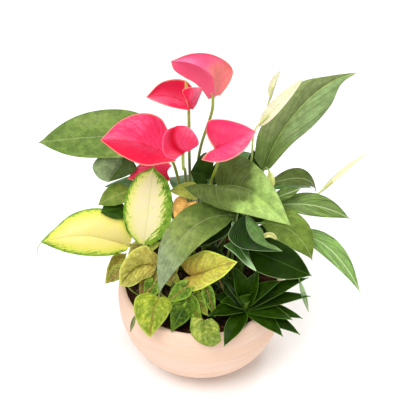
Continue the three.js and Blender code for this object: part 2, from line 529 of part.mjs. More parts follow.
const dieffenbachiaLeaves = [
  { name: 'level', from: [-74, -24, 212], via: [[-84, -36, 232]], bulge: [0.14, 0.14],
    rib: [[-100, -46, 252], [-128, -52, 269], [-159, -56, 280], [-190, -58, 278], [-220, -55, 267]],
    left: [[-104, -56, 252], [-125, -66, 253], [-155, -72, 257], [-185, -70, 262], [-207, -62, 265]],
    right: [[-96, -36, 269], [-108, -26, 288], [-140, -20, 299], [-178, -26, 294], [-206, -42, 276]],
    color: 0xf3f09a },
  { name: 'upright', from: [-73, -26, 218], via: [[-76, -40, 236]], joint: [-79, -46, 256],
    tip: [-65, 4, 354], face: [-0.05, -0.9, 0.5], half: 34, arch: 4, outline: ROUND, color: 0xf5f2b4 },
  { name: 'narrow', from: [-74, -22, 215], via: [[-88, -10, 262]], joint: [-98, 5, 311],
    tip: [-142, -20, 305], face: [0, -0.5, 0.9], half: 16, arch: 10, columns: 2, color: 0x5d8029 },
  { name: 'round', from: [-74, -20, 205], via: [[-92, -14, 240]], joint: [-106, -12, 294],
    tip: [-138, -30, 300], face: [0, -0.5, 0.9], half: 17, arch: 3, columns: 2, color: 0x3e5c14 },
];

for (const spec of dieffenbachiaLeaves) {
  const leaf = { ...OVAL_LEAF, ...spec };
  const path = [vector(leaf.from), ...leaf.via.map(vector), ...arrival(leaf, 0.05, leaf.rise, leaf.slope)];
  const petiole = tube(path, leaf.petiole, 5);
  addNode(`dieffenbachia_leaf_${leaf.name}`, petiole.add(bladeSolid(leaf)).subtract(caneSleeve), leaf.color);
}

// Compact dracaena: one head of strap leaves round a short stem

const ROSETTE = [64, -80, 171];
const rosetteLeaves = [
  { azimuth: 162, rise: 48, reach: 60 }, { azimuth: 51, rise: 58, reach: 53 },
  { azimuth: 10, rise: 38, reach: 62 }, { azimuth: 11, rise: 22, reach: 96 },
  { azimuth: 4, rise: 6, reach: 92 }, { azimuth: -6, rise: -14, reach: 84 },
  { azimuth: -22, rise: -4, reach: 70 }, { azimuth: -20, rise: -22, reach: 88 },
  { azimuth: -38, rise: -20, reach: 69 }, { azimuth: -168, rise: 18, reach: 40 },
  { azimuth: -122, rise: -28, reach: 68 }, { azimuth: -160, rise: -4, reach: 58 },
  { azimuth: 127, rise: 58, reach: 60 }, { azimuth: 172, rise: 10, reach: 50 },
  { azimuth: -60, rise: 70, reach: 30 }, { azimuth: 146, rise: 24, reach: 62 },
];
const stemTop = vector(ROSETTE);
let rosette = stem([61, -76], [], [stemTop.clone().setZ(ROSETTE[2] + 6)], 5, 3);
rosetteLeaves.forEach(({ azimuth, rise, reach }, k) => {
  const turn = THREE.MathUtils.degToRad(azimuth);
  const lift = THREE.MathUtils.degToRad(rise);
  const out = new THREE.Vector3(Math.cos(turn), Math.sin(turn), 0);
  const root = stemTop.clone().addScaledVector(out, 3).setZ(ROSETTE[2] - 12 + rise / 6 + 1.5 * (k % 3));
  const tip = stemTop.clone().addScaledVector(out, reach * Math.cos(lift));
  tip.z += reach * Math.sin(lift);
  const leaf = { outline: STRAP, joint: root.toArray(), tip: tip.toArray(), half: 13.5, curl: 25,
    face: [-out.x * Math.sin(lift), -out.y * Math.sin(lift), 1], arch: 12, rows: 4, columns: 2 };
  rosette = rosette.add(bladeSolid(leaf, 1));
});
addNode('dracaena_head', rosette, 0x2f4a0a);

// Soil, with a plain hole round each stem

function soilSolid() {
  const profile = innerProfile.filter(([, z]) => z <= SOIL_LEVEL)
    .map(([r, z]) => [r - SEAT_GAP * 1.4, z + SEAT_GAP]).reverse();
  const top = [[78, SOIL_LEVEL + SOIL_MOUND * 0.6], [0, SOIL_LEVEL + SOIL_MOUND]];
  return solidOf(lathe([[0, FLOOR + SEAT_GAP], ...profile, ...top]));
}

let soil = soilSolid();
for (const sleeve of stemSleeves) soil = soil.subtract(sleeve);
addNode('soil', soil, 0x3a1f14, 0.95);

export default plant;
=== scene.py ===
"""Looks of a round clay bowl planted with an anthurium in flower and its foliage companions."""
import json
import math
import random

import bpy
import numpy as np
from mathutils import Euler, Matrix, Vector


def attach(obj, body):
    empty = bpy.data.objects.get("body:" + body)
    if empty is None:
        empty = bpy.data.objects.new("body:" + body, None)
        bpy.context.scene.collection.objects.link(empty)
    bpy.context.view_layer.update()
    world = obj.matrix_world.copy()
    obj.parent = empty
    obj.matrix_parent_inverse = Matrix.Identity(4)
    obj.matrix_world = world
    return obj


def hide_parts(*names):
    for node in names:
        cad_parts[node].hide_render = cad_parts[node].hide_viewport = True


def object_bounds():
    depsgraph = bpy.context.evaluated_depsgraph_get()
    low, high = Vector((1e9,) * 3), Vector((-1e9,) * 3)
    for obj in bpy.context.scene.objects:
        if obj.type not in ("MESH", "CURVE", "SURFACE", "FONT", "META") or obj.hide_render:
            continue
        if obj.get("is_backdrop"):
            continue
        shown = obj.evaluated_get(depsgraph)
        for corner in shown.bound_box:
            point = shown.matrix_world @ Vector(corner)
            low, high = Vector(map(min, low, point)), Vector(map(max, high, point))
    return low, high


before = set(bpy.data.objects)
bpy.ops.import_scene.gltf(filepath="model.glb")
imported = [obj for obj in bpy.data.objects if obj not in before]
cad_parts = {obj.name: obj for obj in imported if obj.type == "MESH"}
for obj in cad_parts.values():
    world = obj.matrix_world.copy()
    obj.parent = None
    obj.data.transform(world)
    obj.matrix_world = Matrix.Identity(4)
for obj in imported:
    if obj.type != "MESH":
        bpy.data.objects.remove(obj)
cad_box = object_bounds()

# Sizes in millimetres
MM = 0.001
THICKNESS = 0.8
TIP_HALF_WIDTH = 0.6
SOIL_LEVEL = 136
SOIL_MOUND = 5
ROOT_DEPTH = 16
RIM_HEIGHT = 147
RIM_RADIUS = 121
BELLY_RADIUS = 125
FOOT_RADIUS = 56
WALL = 8
FLOOR = 10
SEAT_GAP = 0.3


# Vectors and curves

def vec(p):
    return np.array(p, float)


def unit(v):
    return v / np.maximum(np.linalg.norm(v, axis=-1, keepdims=True), 1e-9)


def hermite(u, start, leave, end, arrive):
    """The cubic from start to end at u from 0 to 1, with the slopes leave and arrive at its ends."""
    return ((2 * u**3 - 3 * u**2 + 1) * start + (u**3 - 2 * u**2 + u) * leave
            + (3 * u**2 - 2 * u**3) * end + (u**3 - u**2) * arrive)


def spans_of(points):
    """The spans of a centripetal curve through the points: start, slope, end and slope of each."""
    knots = [vec(p) for p in points]
    full = [2 * knots[0] - knots[1], *knots, 2 * knots[-1] - knots[-2]]
    spans = []
    for p0, p1, p2, p3 in zip(full, full[1:], full[2:], full[3:]):
        d0, d1, d2 = (max(np.linalg.norm(b - a), 1e-6) ** 0.5 for a, b in ((p0, p1), (p1, p2), (p2, p3)))
        m1 = ((p1 - p0) / d0 - (p2 - p0) / (d0 + d1) + (p2 - p1) / d1) * d1
        m2 = ((p2 - p1) / d1 - (p3 - p1) / (d1 + d2) + (p3 - p2) / d2) * d1
        spans.append((p1, m1, p2, m2))
    return np.array(spans)


def curve_at(points, s):
    """The curve's point at s, which runs from 0 to 1 with equal parts for the spans."""
    spans = spans_of(points)
    place = np.clip(s, 0, 1) * len(spans)
    k = np.minimum(np.floor(place).astype(int), len(spans) - 1)
    return hermite((place - k)[..., None], *np.moveaxis(spans[k], -2, 0))


def smooth_path(points, steps):
    """A centripetal curve through the points, evenly spaced along its length."""
    u = np.linspace(0, 1, 24, endpoint=False)[:, None]
    line = np.vstack([*(hermite(u, *span) for span in spans_of(points)), vec(points[-1])[None]])
    reach = np.concatenate([[0], np.cumsum(np.linalg.norm(np.diff(line, axis=0), axis=1))])
    places = np.linspace(0, reach[-1], steps + 1)
    return np.stack([np.interp(places, reach, line[:, k]) for k in range(3)], axis=1)


# Half-width outlines from base to tip, as fractions of the greatest half-width
HEART = [0.52, 0.92, 1, 0.96, 0.85, 0.69, 0.49, 0.26, 0]
ARROW = [0.40, 0.84, 1, 0.92, 0.77, 0.59, 0.40, 0.20, 0]
LANCE = [0.07, 0.48, 0.80, 0.97, 1, 0.90, 0.67, 0.33, 0]
OVAL = [0.12, 0.66, 0.93, 1, 0.97, 0.87, 0.67, 0.36, 0]
ROUND = [0.30, 0.72, 0.90, 1, 1, 0.94, 0.81, 0.57, 0]
STRAP = [0.30, 0.74, 0.93, 1, 0.97, 0.84, 0.60, 0.32, 0]


def half_width(outline, s):
    o = vec(outline)
    spans = len(o) - 1
    place = np.minimum(s * spans, spans - 1e-9)
    k = np.floor(place).astype(int)
    before, here, ahead, after = o[np.maximum(k - 1, 0)], o[k], o[k + 1], o[np.minimum(k + 2, spans)]
    return hermite(place - k, here, (ahead - before) / 2, ahead, (after - here) / 2)


def ripple_of(blade, s, t):
    phase = np.where(t < 0, 1.3, 0)
    return blade.get("wave", 0) * t * t * np.sin(4 * np.pi * s + phase) * np.sin(np.pi * s)


def drawn_curves(blade, s):
    """The rib and the two edges of a drawn blade, which meet at its tip."""
    tip = vec(blade["rib"][-1])
    side = unit(vec(blade["right"][-1]) - vec(blade["left"][-1])) * TIP_HALF_WIDTH
    return (curve_at(blade["rib"], s), curve_at([*blade["left"], tip - side], s),
            curve_at([*blade["right"], tip + side], s))


def width_at(blade, s, t):
    """The half-width on the side of t."""
    if "rib" not in blade:
        return np.maximum(blade["half"] * half_width(blade["outline"], s), TIP_HALF_WIDTH)
    middle, left, right = drawn_curves(blade, s)
    return np.linalg.norm(np.where(t[..., None] < 0, left, right) - middle, axis=-1)


def drawn_surface(blade, s, t):
    """A blade between drawn curves: its rib and its two edges."""
    middle, left, right = drawn_curves(blade, s)
    step = 1e-4
    tangent = curve_at(blade["rib"], s + step) - curve_at(blade["rib"], s - step)
    up = unit(np.cross(right - left, tangent))
    span = np.where(t[..., None] < 0, left, right) - middle
    u = np.abs(t)
    bulge = np.where(t < 0, *blade["bulge"]) if "bulge" in blade else 0.1
    lift = 4 * u * (1 - u) * np.linalg.norm(span, axis=-1) * bulge + ripple_of(blade, s, t)
    return middle + span * u[..., None] + up * lift[..., None]


def surface(blade, s, t):
    """A blade's middle surface: s runs from base to tip, t from the left edge (-1) to the right edge (1).

    A blade has a drawn rib and edges, or else a joint and a tip, with the way that it faces. bow is the
    control point of its bend, or arch the height of one in the middle; curl lifts its edges and lobe
    draws them back at the base.
    """
    s, t = np.broadcast_arrays(np.asarray(s, float), np.asarray(t, float))
    if "rib" in blade:
        return drawn_surface(blade, s, t)
    joint, tip = vec(blade["joint"]), vec(blade["tip"])
    length = np.linalg.norm(tip - joint)
    along = (tip - joint) / length
    face = vec(blade["face"])
    normal = unit(face - along * face.dot(along))
    side = np.cross(along, normal)
    bow = vec(blade["bow"]) if "bow" in blade else (joint + tip) / 2 + normal * blade.get("arch", 0)
    q = s[..., None]
    point = (1 - q) ** 2 * joint + 2 * q * (1 - q) * bow + q**2 * tip
    tangent = unit((1 - q) * (bow - joint) + q * (tip - bow))
    across = unit(side - tangent * np.sum(side * tangent, axis=-1, keepdims=True))
    up = np.cross(across, tangent)
    width = width_at(blade, s, t)
    curl = math.radians(blade["curl"])
    bend = curl * np.abs(t)
    lift = width * (1 - np.cos(bend)) / curl + ripple_of(blade, s, t)
    back = blade.get("lobe", 0) * length * np.abs(t) ** 1.5 * (1 - s) ** 3
    return (point + across * (np.sign(t) * (width * np.sin(bend) / curl))[..., None]
            + up * lift[..., None] - tangent * back[..., None])


def surface_normal(blade, s, t):
    e = 1e-3
    ds = surface(blade, np.minimum(s + e, 1), t) - surface(blade, np.maximum(s - e, 0), t)
    dt = surface(blade, s, np.minimum(t + e, 1)) - surface(blade, s, np.maximum(t - e, -1))
    return unit(np.cross(dt, ds))


def arrival(blade, s=0.05):
    """Where a petiole meets its blade: it comes up from below and ends just above the midrib."""
    end = surface(blade, s, 0)
    ahead = unit(surface(blade, s + 0.02, 0) - surface(blade, s - 0.02, 0))
    right = unit(surface(blade, s, 0.05) - surface(blade, s, -0.05))
    up = unit(np.cross(right, ahead))
    return [end - ahead * blade["slope"] - up * blade["rise"], end + up * THICKNESS * 0.3]


# Pieces: points, faces, materials and paint values gathered into one mesh

PAINT = ("along", "across", "rib_mm", "edge_mm", "under")


class Piece:
    def __init__(self, name, *nodes, slot):
        self.name, self.nodes, self.slot = name, nodes, slot
        self.points, self.faces, self.indices, self.materials = [], [], [], []
        self.paint = {key: [] for key in PAINT}
        self.count = 0

    def add(self, points, faces, material, **paint):
        points = np.asarray(points, float).reshape(-1, 3)
        if material not in self.materials:
            self.materials.append(material)
        self.points.append(points)
        self.faces.extend([tuple(i + self.count for i in face) for face in faces])
        self.indices.extend([self.materials.index(material)] * len(faces))
        for key in PAINT:
            self.paint[key].append(np.broadcast_to(np.ravel(paint.get(key, 0.0)), len(points)))
        self.count += len(points)

    def make(self, sharp=50):
        """Makes the mesh, whose edges stay hard where they turn by more than sharp degrees."""
        mesh = bpy.data.meshes.new(self.name)
        mesh.from_pydata((np.vstack(self.points) * MM).tolist(), [], self.faces)
        for material in self.materials:
            mesh.materials.append(material)
        mesh.polygons.foreach_set("material_index", self.indices)
        mesh.polygons.foreach_set("use_smooth", [True] * len(self.faces))
        for key, values in self.paint.items():
            field = mesh.attributes.new(key, "FLOAT", "POINT")
            field.data.foreach_set("value", np.concatenate(values).astype(np.float32))
        mesh.update()
        mesh.set_sharp_from_angle(angle=math.radians(sharp))
        piece = bpy.data.objects.new(self.name, mesh)
        bpy.context.scene.collection.objects.link(piece)
        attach(piece, "root")
        if self.nodes:
            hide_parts(*self.nodes)
        self.slot


def ring_faces(rings, sides):
    """Faces between rings of points, closed at both ends."""
    faces = []
    for i in range(rings - 1):
        for k in range(sides):
            a, b = i * sides + k, i * sides + (k + 1) % sides
            faces.append((a, b, b + sides, a + sides))
    return [*faces, tuple(reversed(range(sides))), tuple(range((rings - 1) * sides, rings * sides))]


def add_tube(piece, path, radii, material, sides):
    """A round tube along a path, one radius for each point of it."""
    tangent = unit(np.gradient(path, axis=0))
    first = np.cross(tangent[0], (0, 1, 0) if abs(tangent[0][1]) < 0.9 else (1, 0, 0))
    frames = [first / np.linalg.norm(first)]
    for way in tangent[1:]:
        step = frames[-1] - way * frames[-1].dot(way)
        frames.append(step / np.linalg.norm(step))
    frames = np.array(frames)
    other = np.cross(tangent, frames)
    angle = np.linspace(0, 2 * np.pi, sides, endpoint=False)
    points = path[:, None] + radii[:, None, None] * (
        frames[:, None] * np.cos(angle)[None, :, None] + other[:, None] * np.sin(angle)[None, :, None])
    along = np.repeat(np.linspace(0, 1, len(path)), sides)
    across = np.tile(angle / np.pi - 1, len(path))
    piece.add(points, ring_faces(len(path), sides), material, along=along, across=across)


def add_blade(piece, blade, material):
    """A thin closed blade with its veins in relief on both faces."""
    rows, columns = blade["grid"]
    even = np.linspace(-1, 1, columns + 1)
    crowded = np.sin(even * np.pi / 2 * 0.86) / math.sin(np.pi / 2 * 0.86)
    s, t = np.meshgrid(np.linspace(0, 1, rows + 1), (crowded + even) / 2, indexing="ij")
    normal = surface_normal(blade, s, t)
    width = width_at(blade, s, t)
    rib_mm, edge_mm = np.abs(t) * width, (1 - np.abs(t)) * width
    middle = surface(blade, s, t) + normal * blade["relief"](s, t, rib_mm, edge_mm)[..., None]
    body = blade.get("thickness", THICKNESS) * (0.45 + 0.55 * np.clip(edge_mm / 3, 0, 1)) / 2
    n = columns + 1
    count = (rows + 1) * n
    a = (np.arange(rows)[:, None] * n + np.arange(columns)[None, :]).ravel()
    top = np.stack([a, a + 1, a + n + 1, a + n], axis=1)
    left = np.arange(rows) * n
    right = left + columns
    base = np.arange(columns)
    end = rows * n + base
    rim = [(left, left + n), (right + n, right), (base + 1, base), (end, end + 1)]
    rim = [np.stack([p, q, q + count, p + count], axis=1) for p, q in rim]
    points = [(middle + way * normal * body[..., None]).reshape(-1, 3) for way in (1, -1)]
    faces = np.vstack([top, top[:, ::-1] + count, *rim]).tolist()
    fields = dict(along=s, across=t, rib_mm=rib_mm, edge_mm=edge_mm)
    fields = {key: np.tile(values.ravel(), 2) for key, values in fields.items()}
    piece.add(np.concatenate(points), faces, material, under=np.repeat([0.0, 1.0], count), **fields)


# Relief of the blades, in millimetres

def pulse(x, width):
    """A row of narrow ridges, one for each whole number of x."""
    f = np.abs(x - np.round(x))
    return np.exp(-((f / width) ** 2))


def make_relief(veins, sweep, power, depth, pillow, rib_depth, rib_width=1.4, seed=0, uneven=0.0):
    """Sunken veins with pillows between them, a sunken rib, and an uneven face of the blade's own."""
    draw = random.Random(seed)
    phases = [draw.uniform(0, 2 * math.pi) for _ in range(6)]

    def relief(s, t, rib_mm, edge_mm):
        side = np.abs(t)
        lateral = (s - sweep * side**power) * veins
        fade = np.clip(edge_mm / 3, 0, 1) * np.clip((1 - s) * 6, 0, 1)
        height = -depth * pulse(lateral, 0.16) * fade * np.clip(rib_mm / 2, 0, 1)
        height += pillow * (0.5 - 0.5 * np.cos(2 * np.pi * lateral)) * fade * np.clip(rib_mm / 4, 0, 1)
        height -= rib_depth * np.exp(-((rib_mm / rib_width) ** 2)) * np.clip((1 - s) * 8, 0, 1)
        height += uneven * (np.sin(5 * s + phases[0] + np.sign(t) * phases[1]) * np.sin(3 * t + phases[2])
                            + 0.6 * np.sin(11 * s + phases[3]) * np.sin(7 * t + phases[4])) * side
        return height
    return relief


# Node materials

TINT = 0.85


def rgb(text):
    """Linear colour from the usual six-digit code."""
    channels = [int(text[k:k + 2], 16) / 255 for k in (0, 2, 4)]
    return [c / 12.92 if c <= 0.04045 else ((c + 0.055) / 1.055) ** 2.4 for c in channels] + [1.0]


class Value:
    """What a node gives. Sums, products and the like of it are further nodes."""

    def __init__(self, paint, socket):
        self.paint, self.socket = paint, socket

    def __add__(self, other):
        return self.paint.math("ADD", self, other)

    def __sub__(self, other):
        return self.paint.math("SUBTRACT", self, other)

    def __mul__(self, other):
        return self.paint.math("MULTIPLY", self, other)

    def __pow__(self, other):
        return self.paint.math("POWER", self, other)

    def __abs__(self):
        return self.paint.math("ABSOLUTE", self)

    def __round__(self):
        return self.paint.math("ROUND", self)

    def span(self, low, high, to_low=0.0, to_high=1.0):
        """Maps low..high to to_low..to_high, held at both ends."""
        ends = {"From Min": low, "From Max": high, "To Min": to_low, "To Max": to_high}
        return self.paint.value("ShaderNodeMapRange", {"Value": self, **ends},
                                interpolation_type="SMOOTHSTEP")


class Paint:
    """A node material: colours laid over a running tone, each through a mask."""

    def __init__(self, name, roughness, shine=0.5, glow=(0.0, 0.0), reach=(1.0, 0.2, 0.1)):
        """glow is the weight and the scale of the light inside the surface, and reach its colours' reach."""
        self.material = bpy.data.materials.new(name)
        self.material.use_nodes = True
        self.shader = self.material.node_tree.nodes["Principled BSDF"].inputs
        uniform = {"Roughness": roughness, "Specular IOR Level": shine, "Subsurface Weight": glow[0],
                   "Subsurface Scale": glow[1], "Subsurface Radius": reach}
        for key, value in uniform.items():
            self.shader[key].default_value = value
        self.place = self.value("ShaderNodeTexCoord", output="Object")
        self.along, self.across, self.rib_mm, self.edge_mm, self.under = (
            self.value("ShaderNodeAttribute", output="Fac", attribute_name=key) for key in PAINT)

    def put(self, socket, value):
        if isinstance(value, Value):
            self.material.node_tree.links.new(value.socket, socket)
        else:
            socket.default_value = rgb(value) if isinstance(value, str) else value

    def value(self, kind, inputs=(), output=0, **settings):
        """An output of a new node."""
        node = self.material.node_tree.nodes.new(kind)
        for key, setting in settings.items():
            setattr(node, key, setting)
        for key, entry in dict(inputs).items():
            self.put(node.inputs[key], entry)
        return Value(self, node.outputs[output])

    def math(self, operation, *values):
        return self.value("ShaderNodeMath", enumerate(values), operation=operation)

    def vector(self, x, y, z=0.0):
        return self.value("ShaderNodeCombineXYZ", enumerate((x, y, z)))

    def axes(self):
        """The place's x, y and z and its distance from the bowl's axis, in metres."""
        x, y, z = (self.value("ShaderNodeSeparateXYZ", {0: self.place}, axis) for axis in range(3))
        return x, y, z, self.math("SQRT", x * x + y * y)

    def noise(self, scale, detail, roughness, place=None):
        return self.value("ShaderNodeTexNoise", {"Vector": place or self.place, "Scale": scale,
                                                 "Detail": detail, "Roughness": roughness})

    def cells(self, scale, place=None, feature="F1"):
        return self.value("ShaderNodeTexVoronoi", {"Vector": place or self.place, "Scale": scale},
                          feature=feature)

    def mix(self, mask, a, b):
        return self.value("ShaderNodeMix", {0: mask, 6: a, 7: b}, output=2, data_type="RGBA")

    def lay(self, color, mask):
        """Lays a colour over the tone where the mask is 1; without a colour it does nothing."""
        if color:
            self.tone = self.mix(mask, self.tone, color)

    def dim(self, factor):
        """Darkens or lightens the tone by a factor."""
        self.tone = self.value("ShaderNodeVectorMath", {0: self.tone, "Scale": factor}, operation="SCALE")

    def done(self, height, distance, strength):
        """Joins the tone and a bump to the shader; distance is in millimetres."""
        bump = self.value("ShaderNodeBump", {"Height": height, "Distance": distance * MM,
                                             "Strength": strength})
        self.put(self.shader["Normal"], bump)
        self.put(self.shader["Base Color"], self.tone)
        return self.material


def vein_fields(p, veins, sweep, power, line):
    """The lateral veins' mask, the value that counts them, and the distance from the rib."""
    side = abs(p.across)
    count = (p.along - side ** power * sweep) * veins
    off = abs(count - round(count))
    return off.span(0.0, line, 1.0, 0.0) * p.edge_mm.span(0.5, 3.0), count, side


def leaf_material(name, color, deep, light, vein, veins=9.0, sweep=0.3, power=1.5, line=0.12, gloss=0.4,
                  vein_strength=0.35, rib_width=1.0, blotch=0.5, margin=None, ridge=0.25, shine=0.06,
                  base=None, base_end=0.5, tip=None, left=None, right=None, streak=0.0, faint=0.45,
                  grain=1.0):
    """A green blade: deep and light tones in soft blotches, pale veins, a matt underside.

    base and tip tint its ends, left and right tint its halves; the base's tint stops at base_end. Some leaves
    use these tints for painted shadow, painted shade and painted sheen.
    streak is the strength of the lighter and darker stripes between the veins, and faint is how much of
    the lateral veins' colour shows. grain scales the fine mottling.
    """
    p = Paint(name, gloss, shine, glow=(0.06, 0.002), reach=(0.6, 1.0, 0.3))
    laterals, count, side = vein_fields(p, veins, sweep, power, line)
    broad, small, cells = p.noise(26.0, 3.0, 0.55), p.noise(95.0, 4.0, 0.6), p.noise(420.0, 4.0, 0.6)
    wander = (broad - 0.5) * 0.5
    along, across = p.along + wander, p.across + wander * 0.6
    p.tone = p.mix(broad.span(0.36, 0.54, 0.6, 0.0) * blotch, color, deep)
    p.lay(light, broad.span(0.52, 0.72, 0.0, 0.7) * blotch)
    # Tints of the halves and ends; on some leaves they are painted shadow, shade and sheen.
    p.lay(left, across.span(-0.15, 0.1, TINT, 0.0))
    p.lay(right, across.span(-0.1, 0.15, 0.0, TINT))
    p.lay(base, along.span(base_end - 0.16, base_end, TINT, 0.0))
    p.lay(tip, along.span(0.5, 0.9, 0.0, TINT))
    between = abs(count - round(count)).span(0.0, 0.5)
    p.dim(between.span(0.0, 1.0, 0.95, 1.05))
    if streak:
        drawn = p.vector(count * 1.1, side * 0.9, p.math("SIGN", p.across))
        p.dim(p.noise(1.0, 5.0, 0.7, drawn).span(0.32, 0.68, 1 - streak, 1 + streak))
    p.dim(small.span(0.36, 0.64, 1 + 0.16 * grain, 1 - 0.2 * grain))
    p.dim(cells.span(0.4, 0.66, 1 + 0.06 * grain, 1 - 0.08 * grain))
    midrib = p.rib_mm.span(0.3 * rib_width, rib_width, 1.0, 0.0)
    lines = p.math("MAXIMUM", laterals * small.span(0.36, 0.6, 0.2 * faint, faint), midrib * 1.6)
    p.lay(vein, lines * vein_strength)
    p.lay(margin, p.edge_mm.span(0.2, 1.3, 0.8, 0.0))
    p.lay(light, p.under * 0.6)
    return p.done(cells * 0.25 - lines * 0.8, ridge, 0.7)


def variegated_material(name, cream, yellow, green, deep, feather, wide_right=1.0):
    """A dieffenbachia blade: cream in the middle, green at the margin, feathered along the veins.

    feather is the greatest width of the margin's feathers in millimetres. The margin is wide_right times
    as wide on the right.
    """
    p = Paint(name, 0.4, 0.15, glow=(0.08, 0.002), reach=(1.0, 1.0, 0.4))
    laterals, count, side = vein_fields(p, 14.0, 0.36, 1.3, 0.1)
    signed = p.math("SIGN", p.across)
    streaks = p.noise(1.0, 5.0, 0.75, p.vector(count * 2.1, side * 3.2, signed * 7.0))
    waves = p.noise(1.0, 2.0, 0.5, p.vector(count * 0.35, side, signed * 7.0))
    reach = streaks.span(0.34, 0.66) * waves.span(0.35, 0.65, 0.45, 1.0)
    limit = (reach * feather + 1.5) * signed.span(0.0, 0.1, 1.0, wide_right)
    crumble = (p.noise(240.0, 4.0, 0.7) - 0.5) * 7.0
    edge = p.edge_mm - (limit + crumble)
    soft = p.noise(90.0, 4.0, 0.6)
    p.tone = p.mix(p.edge_mm.span(3.0, 22.0, 1.0, 0.0), cream, yellow)
    p.lay(yellow, soft.span(0.4, 0.7, 0.0, 0.3))
    p.lay("c4d654", edge.span(0.0, 6.0, 0.6, 0.0))
    p.lay(p.mix(soft.span(0.38, 0.62), green, deep), edge.span(-1.6, 1.2, 1.0, 0.0))
    p.lay(green, p.noise(300.0, 3.0, 0.6).span(0.56, 0.66) * edge.span(0.0, 11.0, 0.75, 0.0))
    midrib = p.rib_mm.span(0.3, 1.3, 1.0, 0.0)
    p.lay("c9c983", midrib * 0.5)
    p.lay("cfc98a", laterals * 0.16)
    return p.done(soft - p.math("MAXIMUM", laterals, midrib) * 0.8, 0.2, 0.6)


def puckered_material(name, color, deep, light, vein, margin, rib="a5794a", base=None):
    """An arrowhead vine's blade: puckered between a net of small veins, with a tinted midrib.

    base tints the part round the petiole.
    """
    p = Paint(name, 0.48, 0.15, glow=(0.06, 0.002), reach=(1.0, 1.0, 0.4))
    laterals, count, side = vein_fields(p, 6.0, 0.34, 1.2, 0.16)
    push = p.noise(120.0, 2.0, 0.5) * 0.012
    shifted = p.value("ShaderNodeVectorMath", {0: p.place, 1: push}, operation="ADD")
    net = p.cells(130.0, shifted, "DISTANCE_TO_EDGE")
    broad, small = p.noise(48.0, 4.0, 0.65), p.noise(190.0, 4.0, 0.65)
    p.tone = p.mix(broad.span(0.4, 0.6), deep, color)
    p.lay(light, small.span(0.46, 0.66, 0.0, 0.36))
    p.lay(deep, small.span(0.34, 0.48, 0.45, 0.0))
    near = p.along + (broad - 0.5) * 0.8
    p.lay(base, near.span(0.1, 0.5, 0.7, 0.0) * side.span(0.5, 0.95, 1.0, 0.3))
    p.lay(vein, net.span(0.0, 0.12, 0.55, 0.0))
    p.lay(vein, laterals * 0.5)
    p.lay(rib, p.rib_mm.span(0.3, 1.5, 1.0, 0.0) * 0.7)
    p.lay(margin, p.edge_mm.span(0.3, 3.5, 0.75, 0.0))
    p.lay(light, p.under * 0.5)
    return p.done(net.span(0.0, 0.35) - laterals * 0.6 + small * 0.8, 0.6, 0.8)


def spathe_material(name, color, deep, light, margin, deep_side=1, far=None, fold=0.0, edge=2.2,
                    foot=0.0):
    """An anthurium spathe: waxy, with faint arching veins and a paler margin.

    It deepens towards the edge on deep_side; far tints the other half as far as its bend; fold is the
    width in millimetres of painted shade in a crease along the rib, and edge that of the margin. foot is
    the share of the length that is pale at the base.
    """
    p = Paint(name, 0.42, 0.28, glow=(0.1, 0.003), reach=(1.0, 0.2, 0.25))
    laterals, count, side = vein_fields(p, 8.0, 0.5, 0.9, 0.14)
    broad = p.noise(24.0, 3.0, 0.55)
    streaks = p.noise(1.0, 3.0, 0.6, p.vector(count * 1.6, side * 1.2))
    turned = p.across * deep_side
    p.tone = p.mix(broad.span(0.4, 0.65), color, light)
    p.lay(deep, (turned + (broad - 0.5) * 0.6).span(-0.55, 0.7, 0.0, 0.95))
    p.lay(deep, streaks.span(0.46, 0.68, 0.0, 0.4))
    p.lay(light, streaks.span(0.3, 0.42, 0.4, 0.0))
    if far:
        patchy = p.mix(streaks.span(0.42, 0.66, 0.0, 0.5), far, light)
        p.lay(patchy, turned.span(-0.1, -0.02, 1.0, 0.0) * p.along.span(0.42, 0.6, 1.0, 0.0))
    lines = p.math("MAXIMUM", laterals * 0.8, p.rib_mm.span(0.4, 1.4, 1.0, 0.0))
    p.lay(deep, lines * 0.5)
    woven = p.vector(count * 1.4, side * 3.0, p.math("SIGN", turned))
    p.lay(deep, p.cells(1.6, woven, "DISTANCE_TO_EDGE").span(0.0, 0.12, 0.5, 0.0))
    # Painted shade in the crease along the rib, fold millimetres wide.
    if fold:
        p.lay(deep, p.rib_mm.span(0.4 * fold, fold, 0.85, 0.0))
    p.lay(margin, p.edge_mm.span(0.3 * edge, edge, 0.85, 0.0))
    if foot:
        p.lay(margin, p.along.span(0.3 * foot, foot, 0.9, 0.0))
    return p.done(broad * 0.4 - lines, 0.3, 0.6)


def stalk_material(name, color, deep, light):
    p = Paint(name, 0.4, glow=(0.1, 0.002))
    streaks = p.noise(1.0, 4.0, 0.6, p.vector(p.across * 5.0, p.along * 9.0))
    p.tone = p.mix(streaks.span(0.3, 0.7), deep, color)
    p.lay(light, p.along.span(0.55, 1.0))
    return p.done(streaks, 0.15, 0.5)


def spadix_material():
    p = Paint("spadix", 0.5, glow=(0.15, 0.002))
    bumps = p.cells(900.0)
    p.tone = p.mix(p.along.span(0.35, 1.0), "e2cd7e", "c9a94e")
    p.lay("8a7a2a", bumps.span(0.2, 0.7, 0.0, 0.45))
    return p.done(p.math("SUBTRACT", 1.0, bumps), 0.5, 0.9)


